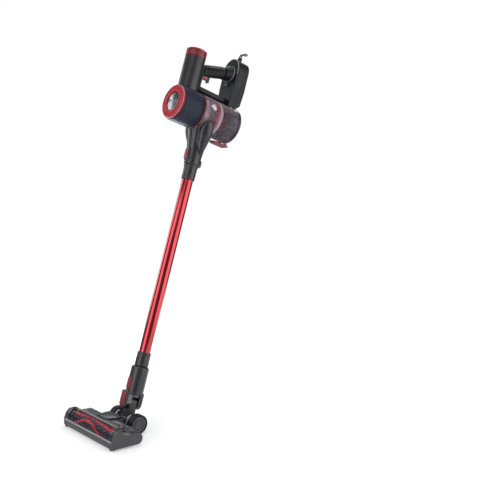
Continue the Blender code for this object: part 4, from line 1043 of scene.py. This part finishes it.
# half outline of the wings seen along the wand, as (x, v)
WING_FRONT = [(0.0, 0.0325), (0.03, 0.032), (0.039, 0.0275), (0.0455, 0.0225), (0.0505, 0.017), (0.054, 0.011),
              (0.0552, 0.004)]
WING_REAR = [(0.0, -0.035), (0.029, -0.029), (0.0395, -0.0215), (0.0465, -0.015), (0.0515, -0.0095),
             (0.0545, -0.003), (0.0552, 0.0036)]
WING_R = BIN_R + 0.0042


def on_side(route, side):
    return [Vector((side * x, -v, w)) for x, v, w in route]


def duct():
    """Inlet duct with a wing on each side of the cup and a raised lobe down each flank."""
    bm = bmesh.new()
    add_turned(bm, DUCT_BODY, edge=0.006)
    wing_mesh(bm)
    hollows = []
    for side in (-1, 1):
        sweep_mesh(bm, on_side(LOBE, side), LOBE_R, 36, flat=0.66)
        hollow = bmesh.new()
        sweep_mesh(hollow, on_side(HOLLOW, side), HOLLOW_R, 24)
        hollows.append(cutter_from(hollow))
    block(bm, (-0.008, 0.015, 0.779), (0.008, 0.0315, 0.801), 0.002)
    block(bm, (-0.011, -0.0275, 0.79), (0.011, -0.018, 0.826), 0.0015)
    bmesh.ops.recalc_face_normals(bm, faces=bm.faces)
    obj = new_object(bm, "duct_shell", STICK)
    voxel_skin(obj, 0.001, 20)
    voxel_skin(baked(obj, hollows), 0.001, 14)
    button = bmesh.new()
    block(button, (-0.0083, -0.04, 0.7942), (0.0083, -0.015, 0.8223), 0.0)
    cutters = [round_cutter(BIN_R + GAP, -0.07, 0.07, BIN, 128), round_cutter(0.019, 0.7, 0.8),
               round_cutter(0.0162, 0.75, 0.92), cutter_from(button)]
    place(baked(obj, cutters), "duct_shell", "charcoal_gloss", "hand_unit", "charcoal", "inlet_duct")


def along(points, x):
    """Value of a polyline at x."""
    for (x0, v0), (x1, v1) in zip(points, points[1:]):
        if x <= x1:
            return v0 + (v1 - v0) * (x - x0) / (x1 - x0)
    return points[-1][1]


def wing_mesh(bm):
    """Curved plate round the bin, as wide along it as the wings' outline."""
    tip = WING_FRONT[-1][0]
    rows, columns = 56, 16
    grids = []
    for radius in (BIN_R - 0.004, WING_R):
        grid = []
        for i in range(rows + 1):
            angle = sin(pi / 2 * (2.0 * i / rows - 1.0)) * asin(tip / WING_R)
            x = min(tip, abs(WING_R * sin(angle)))
            ahead, behind = along(WING_FRONT, x), along(WING_REAR, x)
            grid.append([bm.verts.new((radius * sin(angle), -mid_way(behind, ahead, j / columns),
                                       BIN_W - radius * cos(angle))) for j in range(columns + 1)])
        grids.append(grid)
    plate(bm, *grids)


# ---------------------------------------------------------------- motor and handle
SADDLE_R = BIN_R + 0.001
HOLE_COLUMNS = 72
HOLE_PITCH = 2 * pi * MOTOR_R / HOLE_COLUMNS
HOLE_LOW = 1.018
HOLE_DEEP = 0.0009


def motor_shell():
    """Tube that stands on the bin, with rows of small blind perforations on every other cell."""
    rows = int((MOTOR_TOP - 0.008 - HOLE_LOW) / HOLE_PITCH)
    bm = bmesh.new()

    def ring(r, z=None):
        made = []
        for k in range(HOLE_COLUMNS):
            x, y = r * cos(2 * pi * k / HOLE_COLUMNS), r * sin(2 * pi * k / HOLE_COLUMNS)
            made.append(bm.verts.new((x, y, BIN_W + sqrt(SADDLE_R ** 2 - x ** 2) if z is None else z)))
        return made

    foot = ring(MOTOR_R)
    rings = [ring(MOTOR_R, HOLE_LOW + i * HOLE_PITCH) for i in range(rows + 1)]
    rim = [ring(r, z) for r, z in ((MOTOR_R, MOTOR_TOP - 0.0008), (MOTOR_R - 0.0008, MOTOR_TOP),
                                   (MOTOR_INNER + 0.0003, MOTOR_TOP), (MOTOR_INNER, MOTOR_TOP - 0.0003))]
    for i, (lower, upper) in enumerate(zip(rings, rings[1:])):
        for k in range(HOLE_COLUMNS):
            j = (k + 1) % HOLE_COLUMNS
            quad = (lower[k], lower[j], upper[j], upper[k])
            if (i + k) % 2 == 0 and 1 <= i < rows - 1:
                perforation(bm, quad, k, HOLE_LOW + (i + 0.5) * HOLE_PITCH)
            else:
                bm.faces.new(quad)
    skins(bm, [rings[-1], *rim, ring(MOTOR_INNER), foot, rings[0]])
    from_bmesh(bm, "motor_shell", "charcoal", "hand_unit", "charcoal", MOTOR, 40, "motor_housing")


def perforation(bm, quad, column, height):
    """Blind hole of eight sides in one cell of the tube, whose corners run round from the lower left."""
    middle = (column + 0.5) * 2 * pi / HOLE_COLUMNS
    hole = 0.24 * HOLE_PITCH
    rings = []
    for r in (MOTOR_R, MOTOR_R - HOLE_DEEP):
        rings.append([])
        for n in range(8):
            a = pi / 8 + n * pi / 4
            swing = middle + hole * cos(a) / MOTOR_R
            rings[-1].append(bm.verts.new((r * cos(swing), r * sin(swing), height + hole * sin(a))))
    outer, deep = rings
    for n in range(4):
        here, there, k = quad[n], quad[(n + 1) % 4], (6 + 2 * n) % 8
        bm.faces.new((here, there, outer[k], outer[k - 1]))
        bm.faces.new((there, outer[(k + 1) % 8], outer[k]))
    skin(bm, outer, deep)
    bm.faces.new(deep)


CAP_R = 0.0316
CAP_PITCH = 0.005


def exhaust_cap():
    cap = [(0.0, CAP_TOP - 0.0012), (0.024, CAP_TOP - 0.001), (0.0252, CAP_TOP), (0.0295, CAP_TOP),
           (CAP_R, CAP_TOP - 0.0022)]
    rings, groove_shade = bmesh.new(), bmesh.new()
    for number in range(3):
        z = CAP_TOP - 0.0055 - number * CAP_PITCH
        cap += [(CAP_R, z), (0.0303, z - 0.0006), (0.0303, z - 0.0018), (CAP_R, z - 0.0024)]
        # dark red band laid in each groove: painted shade
        add_turned(groove_shade, [(0.0305, z - 0.0021), (CAP_R, z - 0.0021), (CAP_R, z - 0.0003), (0.0305, z - 0.0003)],
                   128, True)
    inner = MOTOR_INNER - GAP
    cap += [(CAP_R, MOTOR_TOP + GAP), (inner, MOTOR_TOP + GAP), (inner, MOTOR_TOP - 0.003), (0.0, MOTOR_TOP - 0.003)]
    lathe("exhaust_skin", cap, "red_plastic", "exhaust_cap", "red_plastic", MOTOR, 128, False, node="motor_cap")
    low, high = CAP_TOP - 0.0015, CAP_TOP - 0.0008
    for middle in (0.005, 0.0095, 0.014, 0.0185, 0.0225):
        r0, r1 = middle - 0.0006, middle + 0.0006
        add_turned(rings, [(r0, low), (r1, low), (r1, high), (r0, high)], 96, True)
    from_bmesh(rings, "exhaust_rings", "black", "exhaust_cap", "red_plastic", MOTOR)
    from_bmesh(groove_shade, "exhaust_groove_shade", "red_groove_shade", "exhaust_cap", "red_plastic", MOTOR)


HANDLE_RISE = radians(17.6)
GRIP_RIBS = 13
GRIP_FRONT_V = 0.0405
GRIP_REAR_V = -0.0285
GRIP_HALF = 0.015
GRIP_TALL = 0.0187
GRIP_REACH = radians(118)
KNURL = 0.0019
# the handle's own axes and the battery's: Z towards the rear
REARWARD = turned("X", -90)


def handle_axis(v):
    return Vector((0.0, -v, 1.0646 + (0.0445 - v) * tan(HANDLE_RISE)))


def grip_pad():
    """Knurled skin over the top and sides of the handle."""
    rows, columns = 182, 60
    bm = bmesh.new()
    grids = []
    for lift in (-0.0004, 0.0005):
        grid = []
        for share in (i / rows for i in range(rows + 1)):
            middle = handle_axis(mid_way(GRIP_FRONT_V, GRIP_REAR_V, share))
            line = []
            for j in range(columns + 1):
                angle = -GRIP_REACH + 2 * GRIP_REACH * j / columns
                edge = min(1.0, 14 * share, 14 * (1 - share), 7 * j / columns, 7 * (1 - j / columns))
                rise = lift
                if lift > 0:
                    rise = lift * max(0.0, edge)
                    if edge >= 1.0:
                        ridge = max(0.0, sin(2 * pi * GRIP_RIBS * share))
                        rise += KNURL * ridge * min(1.0, 6 * (1 - abs(angle) / GRIP_REACH))
                line.append(bm.verts.new(middle + Vector(((GRIP_HALF + rise) * sin(angle), 0.0,
                                                           (GRIP_TALL + rise) * cos(angle)))))
            grid.append(line)
        grids.append(grid)
    plate(bm, *grids)
    from_bmesh(bm, "grip_pad", "rubber", "hand_unit", "charcoal", STICK, 60)


def handle_details():
    # Light grey bars on the grip's ribs: the ribs are real, their light colour a painted highlight
    ribs = []
    for number in range(GRIP_RIBS):
        middle = handle_axis(mid_way(GRIP_FRONT_V, GRIP_REAR_V, (number + 0.25) / GRIP_RIBS))
        ribs.append([middle + Vector((0.0171 * sin(radians(a)), 0.0, 0.0208 * cos(radians(a))))
                     for a in range(-60, 61, 10)])
    bead("grip_ribs", ribs, 0.001, 0.0004, "lip_and_highlight_grey", "hand_unit", "charcoal", STICK, 12, Vector((0.0, 1.0, 0.0)))
    # Rim where the handle meets the battery: a real rim, its light grey a painted highlight
    rim = [(0.0246, -0.003), (0.0262, -0.003), (0.0268, 0.0), (0.0262, 0.0016), (0.0246, 0.0016)]
    lathe("foot_rim", rim, "lip_and_highlight_grey", "hand_unit", "black",
          STICK @ Matrix.Translation(handle_axis(-0.057)) @ REARWARD, sharp=32)
    lines = mirrored(row((0.0184, -0.046, 1.001), (0.0192, 0.05, 1.002), (0.0, 0.0, 0.004), 2))
    blocks("spine_lines", lines, "black", "hand_unit", "charcoal", STICK, 0.0002)


# ---------------------------------------------------------------- battery
SCREW = [(0.0, 0.0008), (0.0016, 0.0008), (0.0026, 0.0), (0.0026, -0.001), (0.0, -0.001)]
SCREWS = [(-0.023, 1.12), (0.023, 1.12), (-0.02, 1.012), (0.02, 1.012)]
LENS = [(0.0, 0.001), (0.0012, 0.0009), (0.0018, 0.0004), (0.0018, -0.0006), (0.0, -0.0006)]


def battery_details():
    """Painted highlight as a light bar round the front edge of its top; side ribs, and screws, panel and charge
    lights on its back.
    """
    round_top = [Vector((x, 0.0591, z)) for x, z in arc((0.0, 1.112), 0.0354, 0, 180, 30)]
    drop = Vector((0.0, 0.0, 0.025))
    line = [round_top[0] - drop, *round_top, round_top[-1] - drop]
    bead("battery_edge_highlight", [line], 0.0009, 0.0003, "trim_and_highlight_grey", "battery", "charcoal", STICK, 12,
         Vector((0.0, 1.0, 0.0)))
    ribs = mirrored(row((0.0356, 0.07, 1.056), (0.03635, 0.0712, 1.108), (0.0, 0.003, 0.0), 5))
    blocks("battery_side_ribs", ribs, "charcoal", "battery", "charcoal", STICK, 0.0003)
    screws, lenses = bmesh.new(), bmesh.new()
    for x, w in SCREWS:
        matrix = STICK @ at(x, 0.103, w) @ REARWARD
        add_turned(screws, SCREW, 32, edge=0.0004, matrix=matrix)
        for turn in (0, 90):
            block(screws, (-0.0013, -0.0002, 0.0004), (0.0013, 0.0002, 0.00095), 0.0, matrix @ turned("Z", turn))
    for x in (-0.008, 0.0, 0.008):
        add_turned(lenses, LENS, 24, matrix=STICK @ at(x, 0.1033, 1.109) @ REARWARD)
    from_bmesh(screws, "battery_screws", "steel", "battery", "steel")
    from_bmesh(lenses, "charge_lenses", "white_and_glint", "battery", "charcoal")
    blocks("battery_panel", [((-0.015, 0.1031, 1.04), (0.015, 0.1037, 1.098))], "head_grey", "battery", "charcoal",
           STICK, 0.0004)


# ---------------------------------------------------------------- floor
FLOOR_R = 1.9


def floor():
    """White disc under the object that fades out before its edge."""
    bm = bmesh.new()
    bmesh.ops.create_circle(bm, cap_ends=True, segments=96, radius=FLOOR_R)
    obj = new_object(bm, "floor")
    obj.location = (0.0, 0.0, -0.0004)
    made = Shader("floor_white", (0.62, 0.62, 0.62), 0.85, specular=0.1)
    made.tint(made.noise(3.0, 2.0), 0.005)
    reach = made.node("ShaderNodeVectorMath", {0: made.place}, operation="LENGTH").outputs["Value"]
    made.fill({"Emission Color": WHITE, "Emission Strength": made.spread(reach, 0.36, 1.0, 0.45, 1.1)})
    clear = made.node("ShaderNodeBsdfTransparent")
    made.mix(made.spread(reach, 0.0, 1.0, 0.9, 1.7), made.main.outputs["BSDF"], clear.outputs["BSDF"])
    obj.data.materials.append(made.material)


add_camera()
make_materials()
add_studio()
floor()
for build in (hanging_loop, boot_details, dress_cad, window, brush, bumper, cap_lines, cover_slit_shade, end_lock,
              axle_shrouds, wheels, neck_pieces, grips, wand_pieces, bin_pieces, cyclone, filter_can, top_cap,
              lid_details, duct, motor_shell, exhaust_cap, grip_pad, handle_details, battery_details):
    build()
